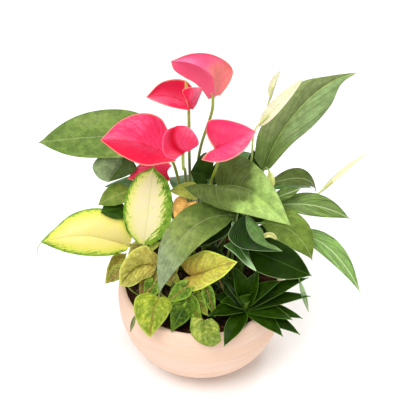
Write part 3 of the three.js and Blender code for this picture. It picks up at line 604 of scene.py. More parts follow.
def clay_material():
    """Pale unglazed clay with fine turning lines; on the inside above the soil, painted shade and a soil
    stain.
    """
    p = Paint("clay", 0.8, 0.2)
    x, y, z, radius = p.axes()
    lines = p.noise(1.0, 5.0, 0.7, p.vector(x * 26.0, y * 26.0, z * 480.0))
    bands = p.noise(1.0, 3.0, 0.5, p.vector(x * 4.0, y * 4.0, z * 70.0))
    grain = p.noise(900.0, 3.0, 0.6)
    p.tone = p.mix(bands.span(0.35, 0.65), "efcab0", "f2d3c0")
    p.lay("e2b59c", lines.span(0.48, 0.7, 0.0, 0.4))
    p.lay("f6e0cf", lines.span(0.3, 0.46, 0.35, 0.0))
    p.lay("c99a80", grain.span(0.6, 0.72, 0.0, 0.4))
    # The inner wall above the soil is darkened: painted shade together with a soil stain.
    inside = radius.span(0.1142, 0.1152, 1.0, 0.0) * z.span(0.118, 0.122) * z.span(0.144, 0.1465, 1.0, 0.0)
    p.lay("6e594c", inside * 0.85)
    return p.done(lines * 0.8 + grain * 0.5, 0.3, 0.7)


def lay_shade(p):
    """Darkens the tone in the shade under the plants, and leaves it along the rim."""
    p.lay("0c0c04", p.axes()[3].span(0.085, 0.108, 0.85, 0.0))


def soil_material():
    p = Paint("soil", 0.95, 0.1)
    crumbs, grains = p.noise(210.0, 6.0, 0.7), p.cells(380.0)
    p.tone = p.mix(crumbs.span(0.35, 0.65), "24130d", "4d2a1c")
    p.lay("7b4a36", grains.span(0.0, 0.25, 0.5, 0.0))
    lay_shade(p)
    return p.done(crumbs + grains, 1.6, 0.9)


def bark_material(name, color, deep):
    p = Paint(name, 0.85, 0.1)
    grain = p.noise(600.0, 5.0, 0.65)
    p.tone = p.mix(grain.span(0.35, 0.65), deep, color)
    lay_shade(p)
    return p.done(grain, 0.5, 0.8)


# Bowl

def lathe_points(profile, sides, wobble=0.0):
    draw = random.Random(1)
    phase = [draw.uniform(0, 2 * math.pi) for _ in range(3)]
    angle = np.linspace(0, 2 * np.pi, sides, endpoint=False)
    r, z = vec(profile).T
    out = r[:, None] + wobble * np.minimum(r / 60, 1)[:, None] * (
        np.sin(2 * angle + phase[0])[None] + 0.5 * np.sin(3 * angle + phase[1] + z[:, None] / 40))
    height = np.broadcast_to(z[:, None], out.shape)
    return np.stack([out * np.cos(angle), out * np.sin(angle), height], axis=-1)


def dense(profile, step):
    """The profile with points about a step apart, smoothed through its own points."""
    length = sum(math.dist(a, b) for a, b in zip(profile, profile[1:]))
    line = smooth_path([(r, 0, z) for r, z in profile], max(int(length / step), 2))
    return [(r, z) for r, _, z in line]


outer = [(FOOT_RADIUS, 1.5), (72, 9), (90, 23), (107, 44), (118, 68), (123, 90), (BELLY_RADIUS, 112),
         (124, 130), (RIM_RADIUS + 0.2, RIM_HEIGHT - 3)]
rim = [(RIM_RADIUS - 0.6, RIM_HEIGHT - 1.2), (RIM_RADIUS - 2.4, RIM_HEIGHT - 0.1),
       (RIM_RADIUS - WALL + 2.6, RIM_HEIGHT - 0.1), (RIM_RADIUS - WALL + 0.8, RIM_HEIGHT - 1.4)]
inner = [(RIM_RADIUS - WALL, RIM_HEIGHT - 4), (RIM_RADIUS - WALL + 1, SOIL_LEVEL),
         (BELLY_RADIUS - WALL, 113), (118 - WALL, 76), (90, 44), (52, FLOOR)]
profile = [(0.01, 1.2), (FOOT_RADIUS - 6, 1.2), (FOOT_RADIUS - 4, 0.0), (FOOT_RADIUS - 1.5, 0.0)]
for r, z in dense(outer, 1.6):
    groove = 0.22 * math.sin(z * 2.3) * math.sin(z * 0.37) + 0.12 * math.sin(z * 5.1)
    profile.append((r + groove * min(1, (RIM_HEIGHT - z) / 6), z))
profile += dense(rim, 1.0) + dense(inner, 4.0) + [(0.01, FLOOR)]

BOWL_SIDES = 144
bowl = Piece("clay_bowl", "bowl", slot="clay")
bowl.add(lathe_points(profile, BOWL_SIDES, 0.15), ring_faces(len(profile), BOWL_SIDES), clay_material())
bowl.make(sharp=60)


# Soil: a crumbly surface with bark chips

def soil_height(x, y):
    r = np.hypot(x, y)
    mound = SOIL_MOUND * np.clip(1 - r / 110, 0, 1)
    lumps = (np.sin(x * 0.31 + 1) * np.sin(y * 0.27 + 2) + 0.7 * np.sin(x * 0.83 + y * 0.6)
             * np.sin(y * 0.9 - 0.4 * x + 1.2) + 0.4 * np.sin(x * 1.9 + 2) * np.sin(y * 2.1))
    return SOIL_LEVEL - 1 + mound + 0.9 * lumps * np.clip((113 - r) / 12, 0, 1)


SOIL_RADIUS, SOIL_RINGS, SOIL_SIDES = 113.4, 56, 128
BARK_CHIPS, BARK_REACH = 620, 110
CHIP_FACES = [(0, 2, 3, 1), (4, 5, 7, 6), (0, 1, 5, 4), (2, 6, 7, 3), (0, 4, 6, 2), (1, 3, 7, 5)]
soil = Piece("potting_soil", "soil", slot="soil")
radii = np.linspace(0.4, SOIL_RADIUS, SOIL_RINGS)
angle = np.linspace(0, 2 * np.pi, SOIL_SIDES, endpoint=False)
x, y = radii[:, None] * np.cos(angle), radii[:, None] * np.sin(angle)
top_rings = np.stack([x, y, soil_height(x, y)], axis=-1)[::-1]
under = [(r - 0.5, z + SEAT_GAP) for r, z in dense(inner[2:], 12.0)] + [(0.4, FLOOR + SEAT_GAP)]
rings = np.concatenate([lathe_points(under, SOIL_SIDES)[::-1], top_rings])
soil.add(rings, ring_faces(len(rings), SOIL_SIDES), soil_material())
draw = random.Random(11)
barks = [bark_material("bark_red", "8d4f3a", "4a2318"), bark_material("bark_dark", "4b2c20", "1e100b"),
         bark_material("bark_pale", "a9826a", "5c3b2c")]
for _ in range(BARK_CHIPS):
    r = BARK_REACH * math.sqrt(draw.random())
    a = draw.uniform(0, 2 * math.pi)
    size = np.array([draw.uniform(1.8, 5.2), draw.uniform(1.2, 3.0), draw.uniform(0.5, 1.2)])
    corners = np.array([[i, j, k] for k in (-1, 1) for j in (-1, 1) for i in (-1, 1)], float) * size
    corners *= np.array([[draw.uniform(0.6, 1.1) for _ in range(3)] for _ in range(8)])
    yaw, pitch, roll = draw.uniform(0, 6.28), draw.gauss(0, 0.35), draw.gauss(0, 0.35)
    turn = np.array(Euler((roll, pitch, yaw)).to_matrix())
    place = vec((r * math.cos(a), r * math.sin(a), 0.5))
    place[2] += soil_height(place[0], place[1])
    soil.add(corners @ turn.T + place, CHIP_FACES, barks[draw.choice((0, 0, 1, 1, 2))])
soil.make(sharp=35)


# Stems

def stem_path(foot, via, top, steps):
    """A path from a place on the soil, or from a point on another stem, through via to the top."""
    x, y = foot[:2]
    start = [foot] if len(foot) == 3 else [(x, y, SOIL_LEVEL - ROOT_DEPTH), (x, y, SOIL_LEVEL + 8)]
    return smooth_path([*start, *via, *top], steps)


def add_stem(piece, path, radius, material, base=1.25, neck=0.85, sides=12):
    """A tube that tapers from base to neck times its radius."""
    u = np.linspace(0, 1, len(path))
    radii = np.minimum(radius * (neck + (base - neck) * (1 - u) ** 1.5), radius + 0.3)
    add_tube(piece, path, radii, material, sides)


def blade_paint(name, blade):
    """A blade's material. The tones are the colours that it takes first: color, deep, light and so on."""
    kind, settings = blade["paint"]
    return kind(f"{name}_paint", *blade["tones"].split(), **{**settings, **blade.get("look", {})})


# Anthurium flowers

FLOWER_STALK_RADIUS = 1.9
SPADIX_LENGTH, SPADIX_RADIUS, SPADIX_SINK = 32, 3, 1.8
STALK_LEAD = (0, 0, -22)
SPATHE = dict(grid=(56, 36), relief=make_relief(8.0, 0.5, 0.9, 0.18, 0.2, 0.3, 1.6, seed=3, uneven=0.5),
              paint=(spathe_material, {}))
flowers = [
    dict(SPATHE, name="top", foot=(4, 38), via=[(-4, 46, 330)], spadix=(-0.5, 0.8, 0.2), bulge=(0.2, 0.14),
         rib=[(17, 24, 452), (16, 17, 473), (13, 11, 494), (-2, 8, 511), (-19, 8, 518), (-38, 10, 518)],
         left=[(25, 31, 451), (36, 39, 463), (42, 43, 479), (34, 34, 501), (11, 26, 519), (-14, 18, 524)],
         right=[(10, 29, 446), (2, 26, 462), (-9, 20, 479), (-22, 16, 490), (-35, 12, 504)],
         tones="f0527a f65e86 f26e90 ec7c58", look=dict(far="fa8c78", edge=1.8)),
    dict(SPATHE, name="upper_left", foot=(-10, 34), via=[(-16, 36, 320)], spadix=(-0.12, 0.35, 0.93),
         bulge=(-0.1, -0.1),
         rib=[(-14, -8, 460), (-23, 0, 464), (-38, -2, 472), (-54, -12, 480), (-69, -26, 488)],
         left=[(-16, -16, 460), (-27, -20, 465), (-42, -22, 471), (-57, -24, 479)],
         right=[(-7, 10, 470), (-17, 14, 484), (-31, 10, 491), (-50, 0, 493)],
         tones="e42e58 d41440 ee6888 ee9480",
         flaps=[dict(SPATHE, grid=(36, 24), rib=[(-13, -12, 460), (-12, -28, 488), (-10, -22, 500)],
                     left=[(-16, -10, 460), (-19, -18, 479), (-24, -12, 488), (-18, -16, 495)],
                     right=[(-11, -10, 458), (-4, -12, 472), (2, 0, 483), (-4, -10, 492)],
                     tones="ee5078 dc1440 f284a0 ee9480", look=dict(deep_side=-1))]),
    dict(SPATHE, name="left", foot=(-16, 22), via=[(-34, 10, 338)], lead=(8, 10, -14),
         spadix=(-0.5, 0.8, 0.3), bulge=(0.1, 0.1),
         rib=[(-46, -22, 398), (-62, -28, 408), (-80, -34, 422), (-106, -38, 430), (-129, -40, 431)],
         left=[(-42, -4, 417), (-53, 0, 437), (-74, -4, 448), (-103, -18, 447)],
         right=[(-32, -34, 393), (-50, -42, 394), (-72, -50, 397), (-102, -48, 411)],
         tones="e63464 d80638 ee5c88 ee8c78"),
    # The centre spathe's fold is painted shade in its crease.
    dict(SPATHE, name="centre", foot=(-8, 16), via=[(-20, 14, 300), (-22, 14, 336)],
         spadix=(-0.2, 0.8, 0.5), bulge=(-0.12, -0.1),
         rib=[(-22, -56, 422), (-31, -50, 424), (-36, -46, 432), (-36, -42, 444), (-31, -38, 452)],
         left=[(-12, -60, 430), (-3, -58, 438), (-8, -50, 449), (-18, -42, 454)],
         right=[(-33, -64, 417), (-46, -60, 421), (-50, -52, 434), (-45, -44, 448)],
         tones="e23460 c8042c e85080 ea5478", look=dict(deep_side=0, fold=7.5)),
    dict(SPATHE, name="right", foot=(8, 22), via=[(10, 12, 250), (14, 4, 325)], spadix=(0.5, 0.8, 0.2),
         bulge=(-0.12, -0.12),
         rib=[(18, -10, 394), (29, -16, 405), (43, -20, 416), (57, -22, 426), (71, -22, 431)],
         left=[(0, -26, 388), (17, -34, 390), (36, -38, 397), (56, -34, 410)],
         right=[(6, 6, 415), (9, 10, 425), (29, 8, 429), (52, -4, 431)],
         tones="ea4270 dc2456 f07898 f0a088", look=dict(foot=0.07)),
    dict(SPATHE, name="low_left", foot=(-24, 34), via=[(-42, 26, 250)], joint=(-47, 18, 333),
         bow=(-74, 10, 345), tip=(-102, 5, 330), face=(0, 0.6, -0.5), half=20, curl=25,
         spadix=(-0.5, 0.8, 0.2), outline=HEART, lobe=0.14, tones="f22f5c e01240 f8557f f48a74"),
]
flower_stalk = stalk_material("flower_stalk", "8c982e", "5c6414", "98a83c")
spadix_paint = spadix_material()

for flower in flowers:
    name = flower["name"]
    piece = Piece(f"spathe_{name}_bloom", f"anthurium_spathe_{name}", slot="spathe_red")
    for blade in (flower, *flower.get("flaps", ())):
        add_blade(piece, blade, blade_paint(f"spathe_{name}", blade))
    piece.make()
    base = surface(flower, 0.06, 0)
    ahead = surface(flower, 0.1, 0) - surface(flower, 0.02, 0)
    inward = unit(np.cross(surface(flower, 0.06, 0.05) - surface(flower, 0.06, -0.05), ahead))
    top = base + inward * (FLOWER_STALK_RADIUS + THICKNESS / 2 + SEAT_GAP)
    path = stem_path(flower["foot"], flower["via"], [top + flower.get("lead", STALK_LEAD), top], 40)
    piece = Piece(f"stalk_{name}_bloom", f"anthurium_stalk_{name}", slot="flower_stalk")
    add_stem(piece, path, FLOWER_STALK_RADIUS, flower_stalk, 1.2, 1.1)
    piece.make()
    direction = unit(vec(flower["spadix"]))
    root = top + direction - inward * SPADIX_SINK
    u = np.linspace(0, 1, 22)
    rounded = np.sqrt(np.clip(1 - (2 * np.clip(u, 0.5, 1) - 1) ** 3, 0.02, 1))
    thick = SPADIX_RADIUS * rounded * (0.78 + 0.22 * np.minimum(u * 4, 1)) * (1 - 0.25 * u)
    piece = Piece(f"spadix_{name}_bloom", f"anthurium_spadix_{name}", slot="spadix")
    add_tube(piece, root + direction * (u * SPADIX_LENGTH)[:, None], thick, spadix_paint, 16)
    piece.make()


# Leaves, each with its petiole

petioles = {"anthurium_leaf": stalk_material("petiole_green", "6f8a34", "3f5a1c", "86a048"),
            "lily_leaf": stalk_material("petiole_lily", "7a9c44", "446c22", "8cae58"),
            "arrowhead_leaf": stalk_material("petiole_arrow", "98a648", "5f7028", "b0b25e"),
            "dieffenbachia_leaf": stalk_material("petiole_cane", "a9bf5c", "6f8f3a", "c9d27c")}
petioles.update(bronze_leaf=petioles["arrowhead_leaf"], lily_spathe=petioles["lily_leaf"])


def grow(leaves):
    """Makes the pieces of the leaves. A leaf without tones has the paint of the first of its name."""
    pieces = {}
    for leaf in leaves:
        name = leaf["name"]
        if name not in pieces:
            nodes = [] if leaf.get("small") else [name]
            pieces[name] = Piece(f"{name}_grown", *nodes, slot=leaf["slot"])
        paint = blade_paint(name, leaf) if "tones" in leaf else pieces[name].materials[0]
        add_blade(pieces[name], leaf, paint)
        path = stem_path(leaf["foot"], leaf["via"], arrival(leaf), leaf["steps"])
        add_stem(pieces[name], path, leaf["petiole"], petioles[leaf["slot"]])
        if "hair" in leaf:
            hair = smooth_path(leaf["hair"], 24)
            add_tube(pieces[name], hair, np.linspace(0.8, 0.35, len(hair)), petioles[leaf["slot"]], 8)
    for piece in pieces.values():
        piece.make()


ANTHURIUM_LOOK = dict(veins=9.0, sweep=0.34, power=1.4, line=0.08, gloss=0.36, vein_strength=0.26)
LILY_LOOK = dict(veins=15.0, sweep=0.55, power=1.15, line=0.18, gloss=0.38, rib_width=1.3)
RIBBED_LOOK = dict(line=0.3, ridge=0.6, streak=0.7, blotch=0.2, faint=1.0, vein_strength=0.7)
HEART_LEAF = dict(outline=HEART, lobe=0.2, curl=18, rise=26, slope=3, petiole=1.8, steps=36, grid=(72, 36),
                  relief=make_relief(9.0, 0.34, 1.4, 0.04, 0.03, 0.5, seed=5, uneven=0.9),
                  paint=(leaf_material, ANTHURIUM_LOOK), slot="anthurium_leaf")
LANCE_LEAF = dict(outline=LANCE, curl=22, rise=3, slope=20, petiole=1.8, steps=36, grid=(110, 26),
                  relief=make_relief(15.0, 0.55, 1.15, 0.15, 0.2, 0.5, seed=6, uneven=0.6),
                  paint=(leaf_material, LILY_LOOK), slot="lily_leaf")
ARROW_LEAF = dict(outline=ARROW, lobe=0.26, curl=15, rise=12, slope=6, petiole=1.3, steps=36, wave=2,
                  relief=make_relief(6.0, 0.34, 1.2, 0.3, 1.0, 0.8, 1.4, seed=8, uneven=1.2),
                  grid=(56, 32), paint=(puckered_material, {}), slot="arrowhead_leaf")

leaves = [
    # The front leaf's base tint is a painted shadow cast by the bloom above it, and its left, right and tip
    # tints are painted light where it is lit.
    dict(HEART_LEAF, name="anthurium_leaf_front", foot=(14, 10), via=[(16, 8, 240)], bulge=(0.16, 0.1),
         rib=[(22, 2, 319), (40, -6, 328), (62, -12, 327), (84, -20, 316), (104, -32, 302), (122, -45, 290)],
         left=[(18, 26, 326), (29, 30, 345), (54, 26, 353), (80, 16, 341), (103, -6, 320)],
         right=[(-23, -16, 332), (-7, -30, 327), (24, -40, 316), (58, -46, 311), (91, -50, 304)],
         tones="94b25a 6c8838 b4cc7e c4d694",
         look=dict(left="90ac5c", right="98b45e", tip="a4c06c", base="424e1e", base_end=0.56, blotch=0.6)),
    # A dark blade that fills the shade behind the front leaf: its dark tones are painted shade.
    dict(LANCE_LEAF, name="anthurium_leaf_front", foot=(14, 10, 148), via=[(24, 24, 220)], rise=14, slope=4,
         joint=(32, 16, 268), tip=(94, 14, 246), face=(0, -0.7, 0.7), half=15, outline=OVAL,
         slot="anthurium_leaf", tones="1e3208 101e04 2e4814 3c5420"),
    # The hanging leaf's tip tint is a painted sheen.
    dict(HEART_LEAF, name="anthurium_leaf_hanging", foot=(24, 22), via=[(40, 10, 240)], joint=(48, -20, 286),
         bow=(-34, -60, 330), tip=(-58, -102, 213), face=(0, -0.6, 0.8), half=27, outline=OVAL, lobe=0,
         rise=8, slope=10, tones="7c8c45 4f6728 96a461 a6ab7b",
         look=dict(tip="8a9876", base="566b2e", blotch=0.8)),
    dict(HEART_LEAF, name="anthurium_leaf_left", foot=(-24, 46), via=[(-50, 50, 280)], joint=(-72, 50, 372),
         tip=(-225, 40, 367), face=(0, -0.35, 1), half=42, arch=10, outline=OVAL,
         tones="677d3b 486128 96a660 a4b17d", look=dict(blotch=0.9)),
    # The small leaf's grey-green tones are a painted sheen, and its left tint is painted shade on the other
    # half.
    dict(HEART_LEAF, name="anthurium_leaf_small", foot=(-30, 24), via=[(-70, 22, 260)], bulge=(0.15, 0.15),
         rib=[(-109, 24, 356), (-114, 16, 346), (-121, 6, 339), (-127, -6, 334)],
         left=[(-96, 18, 357), (-89, 10, 346), (-103, 2, 338)],
         right=[(-122, 20, 362), (-140, 14, 362), (-149, 6, 351), (-141, -2, 338)],
         tones="829467 5e7145 99aa84 a0ad8b", look=dict(left="34490b", gloss=0.55)),
    dict(HEART_LEAF, name="anthurium_leaf_under", foot=(18, -6), via=[(22, -10, 210)], rise=16,
         rib=[(43, -22, 279), (24, -30, 268), (5, -38, 258), (-13, -46, 249)],
         left=[(43, -34, 271), (29, -42, 263), (8, -50, 257)],
         right=[(32, -10, 280), (10, -16, 270), (-7, -34, 256)],
         tones="22380c 101e04 34501a 486428", look=dict(margin="8c9c6c")),
    dict(HEART_LEAF, name="anthurium_leaf_inner", foot=(1, 4), via=[(2, 8, 240)], joint=(-6, 0, 312),
         tip=(-44, -10, 322), face=(0, -0.6, 0.8), half=13, arch=5, lobe=0.1,
         tones="a2a84a 7c8a34 c4c06a c6c072"),
    # A second inner leaf deep among the stalks: its dark tones are painted shade.
    dict(HEART_LEAF, name="anthurium_leaf_inner", foot=(1, 4, 148), via=[(4, 12, 240)], rise=12,
         rib=[(10, 18, 317), (3, 15, 330), (-7, 12, 336), (-14, 12, 335)],
         left=[(5, 12, 313), (-4, 11, 316), (-10, 11, 323)],
         right=[(17, 28, 346), (7, 30, 358), (-2, 25, 354), (-10, 19, 344)],
         tones="243c0c 122204 3a5518 4c6828"),
    dict(HEART_LEAF, name="anthurium_leaves_back", foot=(-10, 60), via=[(-14, 74, 220)],
         joint=(-8, 92, 236), tip=(-36, 176, 198), face=(0, 0.3, 1), half=34, arch=14,
         tones="3a5a1c 22400e 54762c 6c8a44"),
    dict(HEART_LEAF, name="anthurium_leaves_back", foot=(-10, 60, 148), via=[(-40, 76, 200)],
         joint=(-74, 90, 244), tip=(-150, 140, 206), face=(-0.2, 0.3, 1), half=34, arch=14),
    dict(HEART_LEAF, name="anthurium_leaves_back", foot=(-10, 60, 148), via=[(4, 84, 180)],
         joint=(2, 104, 204), tip=(-14, 166, 156), face=(0, 0.6, 0.9), half=28, arch=12),
    dict(LANCE_LEAF, name="lily_leaf_tall", foot=(66, 62), via=[(74, 60, 220)], bulge=(0.12, 0.16),
         rib=[(89, 50, 311), (103, 58, 350), (124, 70, 384), (154, 84, 415), (185, 94, 435), (215, 100, 443)],
         left=[(75, 44, 337), (80, 52, 377), (102, 64, 410), (134, 80, 439), (177, 92, 443)],
         right=[(99, 40, 323), (125, 50, 354), (157, 66, 377), (181, 80, 403), (195, 92, 430)],
         tones="819453 64783a 93a868 c0d488",
         look=dict(left="7e8a58", right="849c66", base="6c8440", base_end=0.3, streak=0.25, blotch=0.35,
                   vein_strength=0.6, faint=0.5, gloss=0.45)),
    dict(LANCE_LEAF, name="lily_leaf_folded", foot=(74, 46), via=[(80, 38, 230)], joint=(92, 28, 300),
         bow=(160, 50, 316), tip=(168, 50, 268), face=(0, -0.2, 0.9), half=17,
         tones="51602c 374814 72834d 949f73", look=dict(streak=0.3)),
    dict(LANCE_LEAF, name="lily_leaf_right", foot=(78, 32), via=[(90, 22, 220)], joint=(104, 15, 274),
         bow=(165, 18, 284), tip=(214, 10, 253), face=(0, -0.5, 0.9), half=18,
         tones="5f7936 324b19 8ca163 a5b980", look=RIBBED_LOOK),
    dict(LANCE_LEAF, name="lily_leaf_right", foot=(78, 32, 148), via=[(92, 24, 240)], joint=(100, 20, 282),
         tip=(140, 12, 308), face=(0, -0.6, 0.8), half=9),
    dict(LANCE_LEAF, name="lily_leaf_far_right", foot=(82, 16), via=[(104, 8, 200)], joint=(131, 0, 238),
         bow=(194, -6, 230), tip=(234, -35, 148), face=(0.3, -0.5, 0.8), half=17,
         tones="74994a 3c6424 aac880 c4dc9c", look=RIBBED_LOOK),
    dict(LANCE_LEAF, name="lily_leaf_olive", foot=(64, 26), via=[(74, 10, 200)], joint=(86, -10, 262),
         bow=(134, -20, 276), tip=(157, -45, 224), face=(0.1, -0.6, 0.8), half=26, outline=OVAL,
         tones="6a8133 4a611f 869c4e 97a961", look=dict(streak=0.2)),
    # The front lily leaf's left tint is a painted sheen, and its right tint and dark tones are painted shade.
    dict(LANCE_LEAF, name="lily_leaf_front", foot=(46, 8), via=[(46, -10, 220)], rise=14, slope=6,
         rib=[(61, -36, 302), (63, -46, 285), (72, -58, 274), (90, -66, 268), (110, -75, 269)],
         left=[(73, -34, 288), (84, -44, 280), (89, -54, 270), (100, -64, 269)],
         right=[(45, -50, 300), (37, -62, 285), (50, -72, 274), (75, -76, 271)],
         tones="315218 0f2305 769956 9bb181",
         look=dict(left="688a49", right="132a05", margin="8ea774", blotch=0.7, streak=0.35, ridge=0.1)),
    # The low lily leaf's pale tip tint is a painted sheen.
    dict(LANCE_LEAF, name="lily_leaf_low", foot=(40, -8), via=[(38, -24, 210)], rise=12, slope=6,
         rib=[(48, -46, 263), (54, -60, 259), (63, -74, 253), (75, -90, 246)],
         left=[(63, -50, 265), (65, -60, 257), (69, -74, 250)],
         right=[(31, -60, 265), (46, -72, 261), (61, -84, 252)],
         tones="34581c 142c08 78a458 b0cc98", look=dict(tip="a4c490", margin="c4dcac", streak=0.35)),
    # This leaf lies in shade: its near-black tones are painted shade.
    dict(LANCE_LEAF, name="lily_leaf_dark", foot=(58, 4), via=[(58, -20, 200)], joint=(62, -40, 243),
         tip=(153, -80, 227), face=(0, -0.6, 0.8), half=27, arch=10, outline=OVAL,
         tones="1a3002 0a1800 2c4810 3c5820", look=dict(margin="849860", shine=0.03)),
    dict(LANCE_LEAF, name="lily_leaves_back", foot=(48, 76), via=[(52, 92, 220)], joint=(58, 106, 264),
         tip=(88, 192, 230), face=(0, 0.3, 1), half=26, arch=18, tones="44662a 2c4a18 628444 80a060"),
    dict(LANCE_LEAF, name="lily_leaves_back", foot=(48, 76, 148), via=[(74, 90, 200)], joint=(98, 96, 236),
         tip=(176, 146, 198), face=(0.2, 0.3, 1), half=22, arch=16),
    dict(LANCE_LEAF, name="lily_leaves_back", foot=(48, 76, 148), via=[(54, 96, 184)], joint=(58, 110, 206),
         tip=(84, 174, 160), face=(0.1, 0.6, 0.9), half=18, arch=12),
    dict(ARROW_LEAF, name="arrowhead_leaf_left", foot=(-72, -38), via=[(-84, -42, 180)],
         joint=(-106, -50, 225), tip=(-134, -78, 210), face=(-0.3, -0.6, 0.8), half=20,
         tones="b4aa48 847c2c d6cc74 8c8038 b8b850"),
    dict(ARROW_LEAF, name="arrowhead_leaf_olive", foot=(-58, -44), via=[(-58, -48, 200)], bulge=(0.2, 0.2),
         rib=[(-62, -70, 236), (-79, -72, 240), (-96, -82, 236), (-111, -98, 226)],
         left=[(-68, -84, 229), (-81, -92, 231), (-96, -98, 225)],
         right=[(-60, -58, 248), (-76, -58, 263), (-96, -68, 261), (-110, -82, 246)],
         tones="c4bc54 98943a e4dc88 928c3c c8cc5c", look=dict(rib="98904a", base="a08a44")),
    dict(ARROW_LEAF, name="arrowhead_leaf_tan", foot=(-64, -60), via=[(-66, -64, 180)], joint=(-70, -72, 222),
         tip=(-86, -96, 196), face=(0, -0.8, 0.6), half=12, tones="a8904a 7c6a30 bfac6a 8a6e3c a0a044"),
    dict(ARROW_LEAF, name="arrowhead_leaf_front", foot=(-44, -66), via=[(-46, -78, 175)], bulge=(0.14, 0.14),
         rib=[(-57, -95, 201), (-64, -104, 192), (-68, -116, 177), (-71, -128, 155)],
         left=[(-50, -92, 200), (-40, -98, 192), (-47, -110, 179), (-60, -122, 167)],
         right=[(-75, -92, 208), (-90, -94, 200), (-93, -106, 182), (-85, -118, 167)],
         tones="b3c039 789122 dfdc79 7c8d22 b6c747"),
    dict(ARROW_LEAF, name="arrowhead_leaf_upright", foot=(-36, -54), via=[(-38, -62, 180)],
         joint=(-40, -76, 212), tip=(-50, -76, 250), face=(0, -1, 0.2), half=11,
         tones="b8bc50 8c9838 dcdc88 98903c bcc45c"),
    dict(ARROW_LEAF, name="arrowhead_leaf_low", foot=(-26, -66), via=[(-24, -80, 165)], joint=(-22, -96, 190),
         tip=(-42, -114, 150), face=(0.2, -0.9, 0.5), half=17,
         tones="547412 2c4804 90a838 2c4404 64881c", look=dict(rib="5c7a2c")),
    dict(ARROW_LEAF, name="arrowhead_leaf_rim", foot=(-6, -66), via=[(-2, -84, 158)], wave=0,
         rib=[(6, -104, 164), (7, -116, 159), (15, -128, 155), (28, -135, 155)],
         left=[(15, -104, 168), (24, -112, 164), (26, -126, 161)],
         right=[(-14, -108, 174), (-15, -118, 157), (-4, -130, 147), (14, -135, 144)],
         tones="adb94b 6f862b dfdc87 6c8229 6c8629", look=dict(rib="a0a854")),
    dict(ARROW_LEAF, name="arrowhead_leaf_golden", foot=(-14, -48), via=[(-16, -54, 190)],
         bulge=(0.14, 0.14), rib=[(-14, -70, 217), (2, -73, 226), (24, -78, 243), (49, -86, 259)],
         left=[(-32, -56, 231), (-15, -56, 242), (8, -58, 254), (30, -70, 255)],
         right=[(-31, -82, 213), (-21, -90, 208), (1, -94, 216), (25, -92, 233)],
         tones="cdcd4a a6aa39 e1e682 b18d4f d9ee4f", look=dict(rib="ae8f53", base="c1a142")),
    dict(ARROW_LEAF, name="arrowhead_leaf_inner", foot=(-18, -62), via=[(-16, -72, 175)],
         joint=(-33, -76, 193), tip=(7, -88, 216), face=(0, -0.7, 0.7), half=12,
         tones="88a02c 546c14 b4c05c 5c7424 a0b844"),
    dict(ARROW_LEAF, name="arrowhead_leaf_inner", foot=(-18, -62, 146), via=[(-12, -70, 165)],
         joint=(-9, -84, 192), tip=(10, -98, 166), face=(-0.2, -0.8, 0.5), half=12),
    # Dark leaves that fill the shade among the stems: their near-black tones are painted shade.
    dict(ARROW_LEAF, name="arrowhead_leaf_shade", foot=(4, -38), via=[(4, -42, 180)], joint=(8, -44, 228),
         tip=(44, -62, 222), face=(0, -0.6, 0.8), half=20,
         tones="142402 081200 223810 182a08 2c4414", look=dict(rib="2c4418")),
    dict(ARROW_LEAF, name="arrowhead_leaf_shade", foot=(4, -38, 148), via=[(7, -45, 180)],
         joint=(26, -62, 218), tip=(8, -74, 174), face=(0.1, -0.8, 0.5), half=13),
    dict(HEART_LEAF, name="bronze_leaf", foot=(-14, -10), via=[(-16, -14, 240)], joint=(-18, -16, 306),
         tip=(-34, -42, 291), face=(-0.2, -0.6, 0.8), half=18, petiole=1.3, slot="bronze_leaf",
         tones="e3ab5b b0742d f7cc7b a46731"),
    dict(LANCE_LEAF, name="lily_bud", foot=(54, 30), via=[(66, 22, 250)], joint=(94, 16, 337),
         tip=(100, 8, 308), face=(0.2, -0.8, 0.3), half=6, curl=40, rise=12, slope=2, petiole=1.3,
         slot="lily_spathe", tones="d4dc7c a8bc48 f0f0b4 9cb440"),
]

